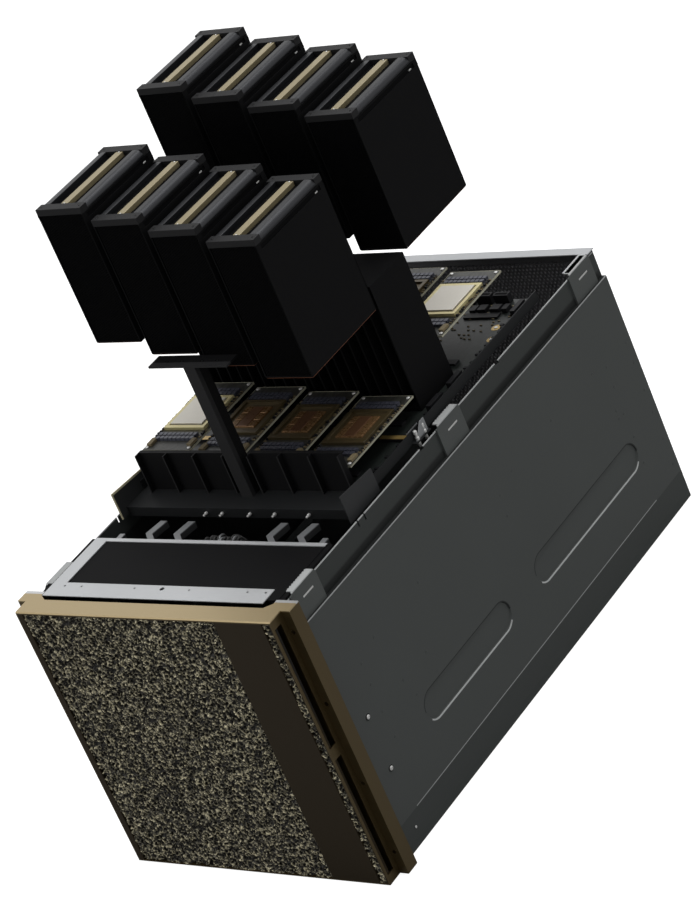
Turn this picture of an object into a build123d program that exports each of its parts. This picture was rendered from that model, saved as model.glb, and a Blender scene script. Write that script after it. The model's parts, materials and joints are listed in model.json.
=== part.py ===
from build123d import *
from math import cos, radians, sin
import os

os.makedirs("parts", exist_ok=True)

# A rack server with eight accelerator modules, shown opened up. X is to the right of the front,
# Y runs from the front to the rear, Z is up. The origin is under the middle of the whole server.

# Chassis, over the outer skins and from the mounting ears to the rear wall
chassis_width = 447.5
chassis_height = 440.0
chassis_length = 848.9
sheet = 1.5
floor_sheet = 2.0
skin_gap = 6.0
skin_bottom = 47.5
skin_drop = 47.5
rim_drop = 6.0

# Mounting ears and front bezel
ear_reach = 17.35
ear_depth = 22.6
ear_opening_gap = 9.65
ear_rail = 10.0
ear_hole_radius = 3.5
ear_hole_edge = 8.55
ear_hole_low = 37.4
ear_hole_high = 34.3
ear_hole_inset = 117.475
ear_slot_front = 4.6
ear_slot_gap = 20.25
ear_slot_slant = 11.0
bezel_overhang = 2.4
bezel_depth = 25.6
bezel_wall = 2.0
bezel_edge = 1.6
foam_thickness = 9.0
band_width = 82.0
foam_strip = 14.15
band_thickness = 10.0
side_slot_width = 14.5
side_slot_margin = 14.5
side_slot_bridge = 18.5
side_slot_setback = 3.4

# Cover tabs along the side walls
tab_reach = 3.2
tab_front_gap = 44.85
tab_rear_gap = 43.65
tab_count = 3
tab_before_slot = 34.0
tab_after_slot = 27.0
tab_lip = 11.4
tab_lip_sheet = 1.5
tab_corner = 8.0
tab_corner_drop = 5.0
tab_slot_length = 25.0
tab_slot_height = 3.4
tab_slot_drop = 19.5

# Stadium beads pressed into the side skins
bead_height = 46.0
bead_depth = 2.5
bead_middle = 138.0
bead_slope = 30.0
bead_front_margin = 148.35
front_bead_length = 235.0
bead_gap = 77.0
bead_rear_margin = 80.55

# Screws on the side skins, as (distance behind the ears, height, radius)
side_screw_places = ((45.35, 213.0, 6.0), (45.35, 126.0, 6.0), (42.35, 26.5, 3.6))
screw_head_share = 0.36

# Wall notches and slots
notch_length = 9.0
notch_depth = 4.5
notch_places = (352.35, 561.35)
wall_slot_width = 3.0
wall_slot_height = 10.0
wall_slot_places = (182.85, 199.35)

# Top plate between the side walls, in front
plate_sheet = 1.2
plate_front_cover = 8.3
plate_front_band = 22.0
plate_hole_inset = 7.3
plate_left_band = 23.4
plate_rear_band = 7.0
plate_length = 124.6
plate_right_gap = 19.55
plate_big_hole_radius = 3.6
plate_big_hole_place = -4.0
panel_sheet = 2.5
panel_flange = 7.0
panel_drop = 0.75

# Rear wall and the exhaust grille behind its window
rear_flange = 18.0
window_side_gap = 10.75
window_above_supplies = 62.0
window_below_rim = 10.0
grille_overlap = 4.0
grille_sheet = 1.0
vent_side_margin = 4.5
vent_bar = 5.0
vent_slot_count = 21
vent_end_margin = 5.0
vent_row_bar = 10.0
vent_rows = 3

# Fans
fan_side_gap = 1.75
fan_columns = 3
fan_rows = 2
fan_housing_gap = 4.0
fan_wall = 3.0
fan_ring_length = 44.0
fan_plate = 2.0
fan_cage_setback = 34.0
fan_cage_top_gap = 0.3
fan_hub_radius = 23.0
fan_hub_length = 30.0
fan_tip_gap = 1.5
fan_blades = 5
fan_blade_sheet = 1.6
fan_blade_pitch = 38.0
fan_blade_root = 1.0
fan_tip_margin = 4.0
fan_blade_depth = 27.0
fan_shaft_length = 24.0
fan_shaft_radius = 4.0
fan_shaft_fit = 0.08
fan_end_gap = 0.3
fan_boss_width = 34.0
fan_boss_length = 6.0
fan_strut_width = 5.0
fan_cage_depth = 98.0

# Handles and latches behind the fan cage
handle_places = (-140.6, -89.4, 77.1, 130.9)
handle_reach = 50.0
handle_bend = 20.0
handle_shift = 6.0
handle_foot_shift = 20.0
handle_width = 12.0
handle_flange = 10.0
handle_sheet = 1.6
latch_side_gap = 32.75
latch_width = 9.0
latch_height = 12.0
latch_reach = 18.0

# Loom of cables bunched on the rear edge of the fan cage
loom_left = -26.0
loom_right = 39.0
loom_reach = 34.0
loom_height = 25.0
loom_above = 5.0
loom_round = 9.0

# Main board on the chassis floor
board_sheet = 2.4
main_board_side_gap = 14.75
main_board_front_gap = 32.35
main_board_rear_gap = 8.55
main_board_lift = 6.0
standoff_radius = 3.0
standoff_pitch_x = 180.0
standoff_pitch_y = 189.0
standoff_count = 3
cooler_width = 92.0
cooler_length = 104.0
cooler_height = 62.0
cooler_base = 6.0
cooler_fins = 12
cooler_fin_sheet = 2.0
cooler_inset = 8.0
cooler_middle = -60.0
dimm_outer_count = 6
dimm_inner_count = 3
dimm_pitch = 7.6
dimm_sheet = 3.8
dimm_length = 133.0
dimm_height = 31.0
dimm_gap = 8.0

# Power supplies at the rear
supply_width = 86.0
supply_height = 84.0
supply_length = 230.0
supply_side_gap = 15.75
supply_count = 4
supply_gap = 1.0
supply_floor_gap = 0.3
supply_setback = 26.0
supply_handle_rod = 3.0
supply_handle_reach = 24.0
supply_handle_height = 54.0
supply_handle_shift = 34.0
supply_grille_width = 56.0
supply_grille_height = 66.0
supply_grille_shift = 7.0
supply_grille_depth = 5.0

# Accelerator tray, lifted clear of the chassis by this much
tray_lift = 250.0
tray_clearance = 1.0
tray_sheet = 2.0
tray_side_gap = 10.75
tray_front_gap = 64.35
tray_rear_margin = 111.0
tray_side_height = 14.0
tray_front_flange = 15.0
tray_lug_reach = 8.5
tray_lug_place = 155.0
tray_lug_length = 38.0
rail_sheet = 1.6
rail_reach = 17.0
rail_height = 22.0
rail_seat_gap = 0.3
rail_runs = ((66.0, 84.0), (199.0, 300.0))
side_plate_front = 15.0
side_plate_length = 76.0
side_plate_below = 11.0
side_plate_above = 32.0
side_plate_slope = 6.0
post_radius = 3.2
post_above = 15.0
post_below = 9.0
post_places = (165.0, 183.5)
post_setout = 4.2
front_pin_radius = 2.4
front_pin_reach = 8.0
front_pin_places = (-58.0, -29.0, 21.0, 65.0, 125.0)

# Air baffle and centre divider on the tray
baffle_side_gap = 21.6
baffle_inner = 22.0
baffle_setback = 44.0
baffle_height = 62.0
baffle_sheet = 2.0
baffle_rib = 2.0
baffle_rib_reach = 9.0
baffle_ribs = 2
baffle_lip = 6.5
divider_half_width = 10.0
divider_setback = 28.0
divider_depth = 23.0
divider_height = 214.0
divider_wall = 2.0
divider_plate_half = 70.0
divider_plate_sheet = 3.0
divider_plate_depth = 27.0

# Carrier board on the tray and what stands on it
carrier_lift = 2.0
carrier_sheet = 2.4
carrier_margin = 6.0
carrier_side_gap = 3.0
carrier_post_pitch_x = 178.0
carrier_post_pitch_y = 105.0
carrier_post_columns = 3
carrier_post_rows = 5
carrier_setback = 52.0
socket_side_gap = 14.0
socket_depth = 12.0
socket_height = 3.0
socket_from_end = 24.0
power_bar_width = 46.0
power_bar_depth = 9.0
power_bar_height = 5.0
power_bar_setback = 152.0
switch_gap = 8.0
switch_outer_gap = 26.0
switch_row_gap = 3.45
switch_rear_gap = 5.0
switch_height = 203.0
switch_base = 5.0
switch_fins = 10
switch_fin_sheet = 2.4
switch_cap = 3.0

# Accelerator modules and their heatsinks, four to a row, in two rows
module_columns = 4
module_gap = 3.2
module_length = 168.0
module_sheet = 3.2
module_seat = 8.0
module_plug_height = 4.7
front_row_setback = 136.0
row_pitch = 269.0
front_module_lift = 19.4
rear_module_lift = 50.8
module_lift_step = 8.7
frame_side_gap = 7.0
frame_length = 80.0
frame_wall = 6.0
frame_height = 5.0
frame_offset = 4.8
lid_side_gap = 15.0
lid_length = 64.0
lid_height = 6.5
bank_side_gap = 8.0
bank_depth = 17.0
bank_height = 5.0
bank_gap = 7.0
sink_side_gap = 3.25
sink_length = 165.5
sink_height = 216.0
sink_base = 3.4
sink_wall = 2.0
sink_fins = 6
sink_fin_sheet = 1.6
sink_cap = 10.0
sink_rim = 15.0
sink_bar_width = 16.0
sink_shoulder = 9.0
sink_recess = 8.0
sink_strip_width = 12.0
sink_strip_height = 7.0
sink_notch_height = 7.0
sink_notch_depth = 1.2
sink_notch_drop = 13.0
sink_notch_inset = 9.0
sink_seat_gap = 0.3
front_sink_lift = 131.4
rear_sink_lift = 131.0
sink_lift_step = 12.2

# Places worked out from the sizes above: the chassis
half_width = chassis_width / 2
overall_length = chassis_length + ear_depth + bezel_depth
front_face = -overall_length / 2
bezel_back = front_face + bezel_depth
chassis_front = bezel_back + ear_depth
rear_face = overall_length / 2
wall_outside = half_width - sheet - skin_gap
wall_inside = wall_outside - sheet
rear_inside = rear_face - sheet
tab_outside = wall_outside + tab_reach
skin_top = chassis_height - skin_drop
rim_height = chassis_height - rim_drop
front_bead_start = chassis_front + bead_front_margin
front_bead_end = front_bead_start + front_bead_length
rear_bead_start = front_bead_end + bead_gap
rear_bead_end = rear_face - bead_rear_margin

# The bezel and the ears
ear_half = half_width + ear_reach
ear_slot_half = wall_inside - ear_slot_gap
bezel_half = half_width + bezel_overhang
ear_hole_top = chassis_height - ear_hole_high
ear_hole_heights = (ear_hole_low, ear_hole_low + ear_hole_inset,
                    ear_hole_top - ear_hole_inset, ear_hole_top)

# The top plate and the fans, which hang below it
panel_top = chassis_height - plate_sheet
cage_top = panel_top - panel_sheet - panel_flange - fan_cage_top_gap
fan_pitch = 2 * (wall_inside - fan_side_gap) / fan_columns
fan_housing = fan_pitch - fan_housing_gap
fan_bore = fan_housing / 2 - fan_wall
fan_shelf = cage_top - fan_pitch * fan_rows
cage_front = chassis_front + fan_cage_setback
cage_back = cage_front + fan_cage_depth

# The power supplies and the exhaust window above them
supply_bottom = floor_sheet
supply_back = rear_face - supply_setback
supply_pitch = (2 * (wall_inside - supply_side_gap) - supply_width) / (supply_count - 1)
window_half = wall_inside - window_side_gap
window_bottom = supply_bottom + supply_height + 2 * supply_gap + window_above_supplies
window_top = rim_height - window_below_rim
vent_slot_pitch = 2 * (window_half - vent_side_margin) / vent_slot_count
vent_row_pitch = (window_top - window_bottom - 2 * vent_end_margin) / vent_rows

# The tray, and what stands on it
tray_floor = chassis_height + tray_clearance
tray_half_width = wall_inside - tray_side_gap
tray_front = cage_back + tray_front_gap
front_row = tray_front + front_row_setback
rear_row = front_row + row_pitch
tray_rear = rear_row + tray_rear_margin
baffle_face = tray_front + baffle_setback
baffle_top = tray_floor + baffle_height
baffle_width = tray_half_width - baffle_side_gap
module_pitch = 2 * baffle_width / module_columns
module_width = module_pitch - module_gap
sink_width = module_width - 2 * sink_side_gap
socket_half = module_width / 2 - socket_side_gap
row_slots = [module_pitch * (k - (module_columns - 1) / 2) for k in range(module_columns)]


def keep(builder, name):
    """Label a finished sub-part and write its STEP file."""
    builder.part.label = name
    export_step(builder.part, f"parts/{name}.step")


def block(x0, x1, y0, y1, z0, z1, mode=Mode.ADD):
    """A rectangular block between two opposite corners, in the open builder."""
    with Locations(((x0 + x1) / 2, (y0 + y1) / 2, (z0 + z1) / 2)):
        Box(abs(x1 - x0), abs(y1 - y0), abs(z1 - z0), mode=mode)


# Floor pan: one folded sheet with upright sides below the skins
with BuildPart() as chassis_floor:
    with BuildSketch(Plane.XZ.offset(-chassis_front)):
        with Locations((0, skin_bottom / 2)):
            Rectangle(chassis_width, skin_bottom)
        with Locations((0, floor_sheet + skin_bottom / 2)):
            Rectangle(chassis_width - 2 * sheet, skin_bottom, mode=Mode.SUBTRACT)
    extrude(amount=-chassis_length)
keep(chassis_floor, "chassis_floor")

# Side skin: folded channel with two pressed beads
with BuildPart() as side_skin_right:
    block(half_width - sheet, half_width, chassis_front, rear_face, skin_bottom, skin_top)
    for flange_bottom in (skin_bottom, skin_top - sheet):
        block(wall_outside, half_width - sheet, chassis_front, rear_face,
              flange_bottom, flange_bottom + sheet)
    for start, end in ((front_bead_start, front_bead_end), (rear_bead_start, rear_bead_end)):
        bead_plane = Plane.YZ.offset(half_width)
        with BuildSketch(bead_plane):
            with Locations(((start + end) / 2, bead_middle)):
                SlotOverall(end - start + 2 * sheet, bead_height + 2 * sheet)
        extrude(amount=-bead_depth - sheet, taper=bead_slope)
        with BuildSketch(bead_plane):
            with Locations(((start + end) / 2, bead_middle)):
                SlotOverall(end - start, bead_height)
        extrude(amount=-bead_depth, taper=bead_slope, mode=Mode.SUBTRACT)
keep(side_skin_right, "side_skin_right")

with BuildPart() as side_skin_left:
    mirror(side_skin_right.part, about=Plane.YZ)
keep(side_skin_left, "side_skin_left")

# Inner wall: plain sheet with notches in its rim and small slots near the front
with BuildPart() as inner_wall_right:
    block(wall_inside, wall_outside, chassis_front, rear_inside, floor_sheet, rim_height)
    for places, length, depth in ((notch_places, notch_length, notch_depth),
                                  (wall_slot_places, wall_slot_width, wall_slot_height)):
        for place in places:
            middle = chassis_front + place
            block(wall_inside, wall_outside, middle - length / 2, middle + length / 2,
                  rim_height - depth, rim_height, Mode.SUBTRACT)
keep(inner_wall_right, "inner_wall_right")

with BuildPart() as inner_wall_left:
    mirror(inner_wall_right.part, about=Plane.YZ)
keep(inner_wall_left, "inner_wall_left")

# Cover tabs: six folded brackets that stand on the skins' top flanges against the inner walls
tab_first = chassis_front + tab_front_gap
tab_pitch = (rear_face - tab_rear_gap - tab_first) / (tab_count - 1)
tab_slots = [tab_first + tab_pitch * k for k in range(tab_count)]
with BuildPart() as cover_tabs:
    for slot_middle in tab_slots:
        tab_start = slot_middle - tab_before_slot
        tab_end = slot_middle + tab_after_slot
        with BuildSketch(Plane.YZ.offset(wall_outside)):
            with BuildLine():
                Polyline(
                    (tab_start, skin_top), (tab_end, skin_top),
                    (tab_end, chassis_height - tab_corner_drop),
                    (tab_end - tab_corner / 2, chassis_height),
                    (tab_start + tab_corner, chassis_height),
                    (tab_start, chassis_height - tab_corner_drop), close=True)
            make_face()
        extrude(amount=tab_reach)
        block(wall_outside, tab_outside - tab_lip_sheet, tab_start + tab_lip_sheet,
              tab_end - tab_lip_sheet, skin_top, chassis_height - tab_lip_sheet, Mode.SUBTRACT)
        block(tab_outside - tab_lip, wall_outside, tab_start + tab_corner, tab_end - tab_corner / 2,
              chassis_height - tab_lip_sheet, chassis_height)
        block(wall_outside, tab_outside, slot_middle - tab_slot_length / 2,
              slot_middle + tab_slot_length / 2,
              chassis_height - tab_slot_drop - tab_slot_height / 2,
              chassis_height - tab_slot_drop + tab_slot_height / 2, Mode.SUBTRACT)
    mirror(about=Plane.YZ)
keep(cover_tabs, "cover_tabs")

# Rear wall with its top flange, the power supply bays and the exhaust window
supply_places = [supply_pitch * (k - (supply_count - 1) / 2) for k in range(supply_count)]
window_middle = (window_bottom + window_top) / 2
with BuildPart() as rear_wall:
    block(-wall_outside, wall_outside, rear_inside, rear_face, floor_sheet, chassis_height)
    block(-tab_outside, tab_outside, rear_face - rear_flange, rear_face,
          chassis_height - sheet, chassis_height)
    for place in supply_places:
        block(place - supply_width / 2 - supply_gap, place + supply_width / 2 + supply_gap,
              rear_inside, rear_face, supply_bottom,
              window_bottom - window_above_supplies, Mode.SUBTRACT)
    block(-window_half, window_half, rear_inside, rear_face, window_bottom, window_top,
          Mode.SUBTRACT)
keep(rear_wall, "rear_wall")

# Exhaust grille: a thin slotted sheet against the inside of the rear wall
with BuildPart() as rear_grille:
    with BuildSketch(Plane.XZ.offset(-rear_inside)):
        with Locations((0, window_middle)):
            Rectangle(2 * (window_half + grille_overlap),
                      window_top - window_bottom + 2 * grille_overlap)
            with GridLocations(vent_slot_pitch, vent_row_pitch, vent_slot_count, vent_rows):
                Rectangle(vent_slot_pitch - vent_bar, vent_row_pitch - vent_row_bar,
                          mode=Mode.SUBTRACT)
    extrude(amount=grille_sheet)
keep(rear_grille, "rear_grille")

# Top plate: bright frame over the fan cage, with a dark panel let into it
plate_front = chassis_front - plate_front_cover
panel_front = plate_front + plate_front_band + plate_front_cover
plate_rear = chassis_front + plate_length
plate_side = tab_outside - tab_lip - sheet
plate_left = -plate_side
plate_right_end = plate_side - plate_right_gap
panel_left = plate_left + plate_left_band
with BuildPart() as front_top_frame:
    with BuildSketch(Plane.XY.offset(chassis_height - plate_sheet)):
        with BuildLine():
            Polyline(
                (plate_left, plate_front), (plate_right_end, plate_front),
                (plate_right_end, panel_front), (panel_left, panel_front),
                (panel_left, plate_rear - plate_rear_band),
                (plate_side, plate_rear - plate_rear_band), (plate_side, plate_rear),
                (plate_left, plate_rear), close=True)
        make_face()
        with Locations((plate_big_hole_place, panel_front - plate_hole_inset)):
            Circle(plate_big_hole_radius, mode=Mode.SUBTRACT)
    extrude(amount=plate_sheet)
keep(front_top_frame, "front_top_frame")

panel_step = panel_top - panel_drop
with BuildPart() as front_top_panel:
    block(plate_left, plate_side, chassis_front, plate_rear, panel_top - panel_sheet, panel_top)
    for side in (-1, 1):
        block(side * plate_side, side * wall_inside, chassis_front, plate_rear,
              panel_top - panel_sheet, panel_step)
        block(side * wall_inside, side * (wall_inside - sheet), chassis_front, plate_rear,
              panel_top - panel_sheet - panel_flange, panel_top - panel_sheet)
keep(front_top_panel, "front_top_panel")

# Ear frame: carries the server in its rack
slot_front_edge = bezel_back + ear_slot_front
ear_open_half = wall_inside - ear_opening_gap
with BuildPart() as ear_frame:
    block(-ear_half, ear_half, bezel_back, chassis_front, 0, chassis_height)
    block(-ear_open_half, ear_open_half, bezel_back, chassis_front,
          ear_rail, chassis_height - ear_rail, Mode.SUBTRACT)
    with BuildSketch(Plane.XY.offset(chassis_height)):
        with BuildLine():
            Polyline(
                (-ear_slot_half, slot_front_edge), (ear_slot_half, slot_front_edge),
                (ear_slot_half + ear_slot_slant, plate_front),
                (ear_slot_half + ear_slot_slant, chassis_front),
                (-ear_slot_half - ear_slot_slant - bezel_wall, chassis_front),
                (-ear_slot_half - ear_slot_slant - bezel_wall, plate_front), close=True)
        make_face()
    extrude(amount=-ear_rail, mode=Mode.SUBTRACT)
    with BuildSketch(Plane.XZ.offset(-bezel_back)):
        with Locations([(side * (ear_half - ear_hole_edge), height)
                        for side in (-1, 1) for height in ear_hole_heights]):
            Circle(ear_hole_radius)
    extrude(amount=-ear_depth, mode=Mode.SUBTRACT)
keep(ear_frame, "ear_frame")

# Bezel frame: open box with long air slots down both sides
slot_length = (chassis_height - 2 * side_slot_margin - side_slot_bridge) / 2
with BuildPart() as bezel_frame:
    block(-bezel_half, bezel_half, front_face, bezel_back, 0, chassis_height)
    top_edges = bezel_frame.edges().filter_by(Axis.X).group_by(Axis.Y)[0].sort_by(Axis.Z)
    chamfer(top_edges[-1], bezel_edge)
    block(-bezel_half + bezel_wall, bezel_half - bezel_wall, front_face, bezel_back,
          bezel_wall, chassis_height - bezel_wall - bezel_edge, Mode.SUBTRACT)
    with BuildSketch(Plane.YZ.offset(-bezel_half)):
        for level in (-1, 1):
            middle = chassis_height / 2 + level * (side_slot_bridge + slot_length) / 2
            with Locations((front_face + side_slot_setback + side_slot_width / 2, middle)):
                Rectangle(side_slot_width, slot_length)
    extrude(amount=2 * bezel_half, mode=Mode.SUBTRACT)
keep(bezel_frame, "bezel_frame")

# Foam panel: coarse metal foam, cut out for the plain band
face_half = bezel_half - bezel_wall
band_right = face_half - foam_strip
band_left = band_right - band_width
face_top = chassis_height - bezel_wall - bezel_edge
with BuildPart() as bezel_foam_panel:
    block(-face_half, face_half, front_face, front_face + foam_thickness, bezel_wall, face_top)
    block(band_left, band_right, front_face, front_face + foam_thickness,
          bezel_wall, face_top, Mode.SUBTRACT)
keep(bezel_foam_panel, "bezel_foam_panel")

# Plain band between the two foam faces, its front edges eased
with BuildPart() as bezel_band:
    block(band_left, band_right, front_face, front_face + band_thickness, bezel_wall, face_top)
    front_edges = bezel_band.edges().filter_by(Axis.Z).group_by(Axis.Y)[0]
    chamfer(front_edges, bezel_edge / 2)
keep(bezel_band, "bezel_band")

# Fan cage: a box on two legs, with a square housing, a bore and a spider for each fan
fan_places = [(fan_pitch * (k - (fan_columns - 1) / 2), fan_shelf + fan_pitch * (j + 0.5))
              for j in range(fan_rows) for k in range(fan_columns)]
cage_half = wall_inside
ring_back = cage_front + fan_ring_length
boss_front = ring_back - fan_boss_length
with BuildPart() as fan_cage:
    block(-cage_half, cage_half, cage_front, cage_front + fan_plate, fan_shelf, cage_top)
    for side in (-1, 1):
        block(side * cage_half, side * (cage_half - fan_plate), cage_front, cage_back,
              floor_sheet, cage_top)
    for level in (fan_shelf, cage_top - fan_plate):
        block(-cage_half, cage_half, cage_front, cage_back, level, level + fan_plate)
    with BuildSketch(Plane.XZ.offset(-cage_front)):
        with Locations(fan_places):
            Rectangle(fan_housing, fan_housing)
    extrude(amount=-fan_ring_length)
    with BuildSketch(Plane.XZ.offset(-cage_front)):
        with Locations(fan_places):
            Circle(fan_bore)
    extrude(amount=-fan_ring_length, mode=Mode.SUBTRACT)
    with BuildSketch(Plane.XZ.offset(-boss_front)):
        with Locations(fan_places):
            Rectangle(fan_boss_width, fan_boss_width)
            Rectangle(fan_housing, fan_strut_width)
            Rectangle(fan_strut_width, fan_housing)
    extrude(amount=-fan_boss_length)
    with BuildSketch(Plane.XZ.offset(-boss_front)):
        with Locations(fan_places):
            Circle(fan_shaft_radius)
    extrude(amount=fan_shaft_length)
keep(fan_cage, "fan_cage")

# Fan rotors: hub with pitched blades, turning on the shafts of the cage
hub_back = boss_front - fan_end_gap
tip_radius = fan_bore - fan_tip_gap - fan_tip_margin
blade_length = tip_radius - fan_hub_radius + fan_blade_root
blade_middle = (tip_radius + fan_hub_radius - fan_blade_root) / 2
for index, (fan_x, fan_z) in enumerate(fan_places):
    with BuildPart() as fan_rotor:
        with BuildSketch(Plane.XZ.offset(-hub_back)):
            with Locations((fan_x, fan_z)):
                Circle(fan_hub_radius)
                Circle(fan_shaft_radius + fan_shaft_fit, mode=Mode.SUBTRACT)
        extrude(amount=fan_hub_length)
        for blade in range(fan_blades):
            turn = radians(360 / fan_blades * blade)
            spot = Plane(
                origin=(fan_x + blade_middle * cos(turn), hub_back - fan_hub_length / 2,
                        fan_z + blade_middle * sin(turn)),
                x_dir=(cos(turn), 0, sin(turn)), z_dir=(0, 1, 0))
            with Locations(spot.location * Rotation(fan_blade_pitch, 0, 0)):
                Box(blade_length, fan_blade_depth, fan_blade_sheet)
    keep(fan_rotor, f"fan_rotor_{index + 1}")

# Folded handles that lift the fans, and latches, on the rear edge of the cage
with BuildPart() as fan_handles:
    for place in handle_places:
        for left, depth in ((0, handle_sheet), (handle_width - handle_sheet, handle_flange)):
            with BuildSketch(Plane.XY.offset(cage_top - depth)):
                with BuildLine():
                    Polyline(
                        (place + left + handle_foot_shift, cage_back),
                        (place + handle_width + handle_foot_shift, cage_back),
                        (place + handle_width, cage_back + handle_bend),
                        (place + handle_width + handle_shift, cage_back + handle_reach),
                        (place + left + handle_shift, cage_back + handle_reach),
                        (place + left, cage_back + handle_bend), close=True)
                make_face()
            extrude(amount=depth)
    latch_place = wall_inside - latch_side_gap
    for side in (-1, 1):
        block(side * latch_place - latch_width / 2, side * latch_place + latch_width / 2,
              cage_back, cage_back + latch_reach,
              cage_top - latch_height, cage_top)
keep(fan_handles, "fan_handles")

# Loom of cables: its outer shape, a bundle rounded along its top
with BuildPart() as cable_loom:
    block(loom_left, loom_right, cage_back, cage_back + loom_reach,
          cage_top - loom_height, cage_top + loom_above)
    loom_tops = cable_loom.edges().group_by(Axis.Z)[-1]
    fillet(loom_tops, loom_round)
keep(cable_loom, "cable_loom")

# Main board, its processors' coolers and its memory
board_top = floor_sheet + main_board_lift + board_sheet
main_board_start = cage_back + main_board_front_gap
board_end = supply_back - supply_length - main_board_rear_gap
board_half = wall_inside - main_board_side_gap
cooler_place = board_half / 2 - cooler_inset
with BuildPart() as main_board:
    block(-board_half, board_half, main_board_start, board_end,
          floor_sheet + main_board_lift, board_top)
    with BuildSketch(Plane.XY.offset(floor_sheet)):
        with Locations((0, (main_board_start + board_end) / 2)):
            with GridLocations(standoff_pitch_x, standoff_pitch_y, standoff_count, standoff_count):
                RegularPolygon(standoff_radius, 6)
    extrude(amount=main_board_lift)
keep(main_board, "main_board")

with BuildPart() as processor_coolers:
    for side in (-1, 1):
        left = side * cooler_place - cooler_width / 2
        front = cooler_middle - cooler_length / 2
        block(left, left + cooler_width, front, front + cooler_length,
              board_top, board_top + cooler_base)
        fin_step = (cooler_width - cooler_fin_sheet) / (cooler_fins - 1)
        for fin in range(cooler_fins):
            block(left + fin * fin_step, left + fin * fin_step + cooler_fin_sheet,
                  front, front + cooler_length, board_top + cooler_base, board_top + cooler_height)
keep(processor_coolers, "processor_coolers")

with BuildPart() as memory_modules:
    for side in (-1, 1):
        for edge in (-1, 1):
            first = side * cooler_place + edge * (cooler_width / 2 + dimm_gap)
            for stick in range(dimm_outer_count if edge == side else dimm_inner_count):
                x = first + edge * stick * dimm_pitch
                block(x - dimm_sheet / 2, x + dimm_sheet / 2, cooler_middle - dimm_length / 2,
                      cooler_middle + dimm_length / 2, board_top, board_top + dimm_height)
keep(memory_modules, "memory_modules")

# Power supplies: closed boxes with a recessed grille and a loop handle, in bays at the rear
for index, place in enumerate(supply_places):
    with BuildPart() as power_supply:
        block(place - supply_width / 2, place + supply_width / 2, supply_back - supply_length,
              supply_back, supply_bottom + supply_floor_gap, supply_bottom + supply_height)
        middle_z = supply_bottom + supply_height / 2
        with BuildSketch(Plane.XZ.offset(-supply_back)):
            with Locations((place - supply_grille_shift, middle_z)):
                Rectangle(supply_grille_width, supply_grille_height)
        extrude(amount=supply_grille_depth, mode=Mode.SUBTRACT)
        handle_x = place + supply_handle_shift
        for end in (-1, 1):
            block(handle_x - supply_handle_rod, handle_x + supply_handle_rod, supply_back,
                  supply_back + supply_handle_reach, middle_z + end * supply_handle_height / 2,
                  middle_z + end * (supply_handle_height / 2 - 2 * supply_handle_rod))
        block(handle_x - supply_handle_rod, handle_x + supply_handle_rod,
              supply_back + supply_handle_reach - supply_handle_rod,
              supply_back + supply_handle_reach,
              middle_z - supply_handle_height / 2, middle_z + supply_handle_height / 2)
    keep(power_supply, f"power_supply_{index + 1}")

# Screws on both side skins
with BuildPart() as side_screws:
    for along, height, radius in side_screw_places:
        head = radius * screw_head_share
        with BuildSketch(Plane.YZ.offset(half_width)):
            with Locations((chassis_front + along, height)):
                Circle(radius)
        extrude(amount=head)
    mirror(about=Plane.YZ)
keep(side_screws, "side_screws")

# Rails that carry the lowered tray
rail_top = tray_floor - tray_sheet - tray_lift - rail_seat_gap
with BuildPart() as tray_rails:
    for setback, length in rail_runs:
        start = tray_front + setback
        block(wall_inside - rail_reach, wall_inside, start, start + length,
              rail_top - rail_sheet, rail_top)
        block(wall_inside - rail_sheet, wall_inside, start, start + length,
              rail_top - rail_height, rail_top)
    mirror(about=Plane.YZ)
keep(tray_rails, "tray_rails")

# Tray pan: floor, folded sides, front flange and the lugs for its thumbscrews
with BuildPart() as tray_pan:
    block(-tray_half_width, tray_half_width, tray_front, tray_rear,
          tray_floor - tray_sheet, tray_floor)
    block(-tray_half_width + tray_sheet, tray_half_width - tray_sheet,
          tray_front, tray_front + tray_sheet, tray_floor - tray_front_flange, tray_floor)
    for side in (-1, 1):
        block(side * (tray_half_width - tray_sheet), side * tray_half_width,
              baffle_face, tray_rear, tray_floor, tray_floor + tray_side_height)
        block(side * tray_half_width, side * (tray_half_width + tray_lug_reach),
              tray_front + tray_lug_place, tray_front + tray_lug_place + tray_lug_length,
              tray_floor - tray_sheet, tray_floor)
keep(tray_pan, "tray_pan")

side_plate_start = tray_front - side_plate_front
side_plate_bottom = tray_floor - side_plate_below
side_plate_top = tray_floor + side_plate_above
with BuildPart() as tray_side_plates:
    with BuildSketch(Plane.YZ.offset(tray_half_width)):
        with BuildLine():
            Polyline(
                (side_plate_start, side_plate_bottom),
                (side_plate_start + side_plate_length, side_plate_bottom),
                (side_plate_start + side_plate_length, side_plate_top - side_plate_slope),
                (side_plate_start, side_plate_top), close=True)
        make_face()
    extrude(amount=sheet)
    mirror(about=Plane.YZ)
keep(tray_side_plates, "tray_side_plates")

with BuildPart() as tray_screws:
    for side in (-1, 1):
        for place in post_places:
            with BuildSketch(Plane.XY.offset(tray_floor)):
                with Locations((side * (tray_half_width + post_setout), tray_front + place)):
                    RegularPolygon(post_radius, 6)
            extrude(amount=post_above)
            with BuildSketch(Plane.XY.offset(tray_floor - tray_sheet)):
                with Locations((side * (tray_half_width + post_setout), tray_front + place)):
                    RegularPolygon(post_radius, 6)
            extrude(amount=-post_below)
    for place in front_pin_places:
        with BuildSketch(Plane.XZ.offset(-tray_front)):
            with Locations((place, tray_floor - tray_front_flange / 2)):
                RegularPolygon(front_pin_radius, 6)
        extrude(amount=front_pin_reach)
keep(tray_screws, "tray_screws")

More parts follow.
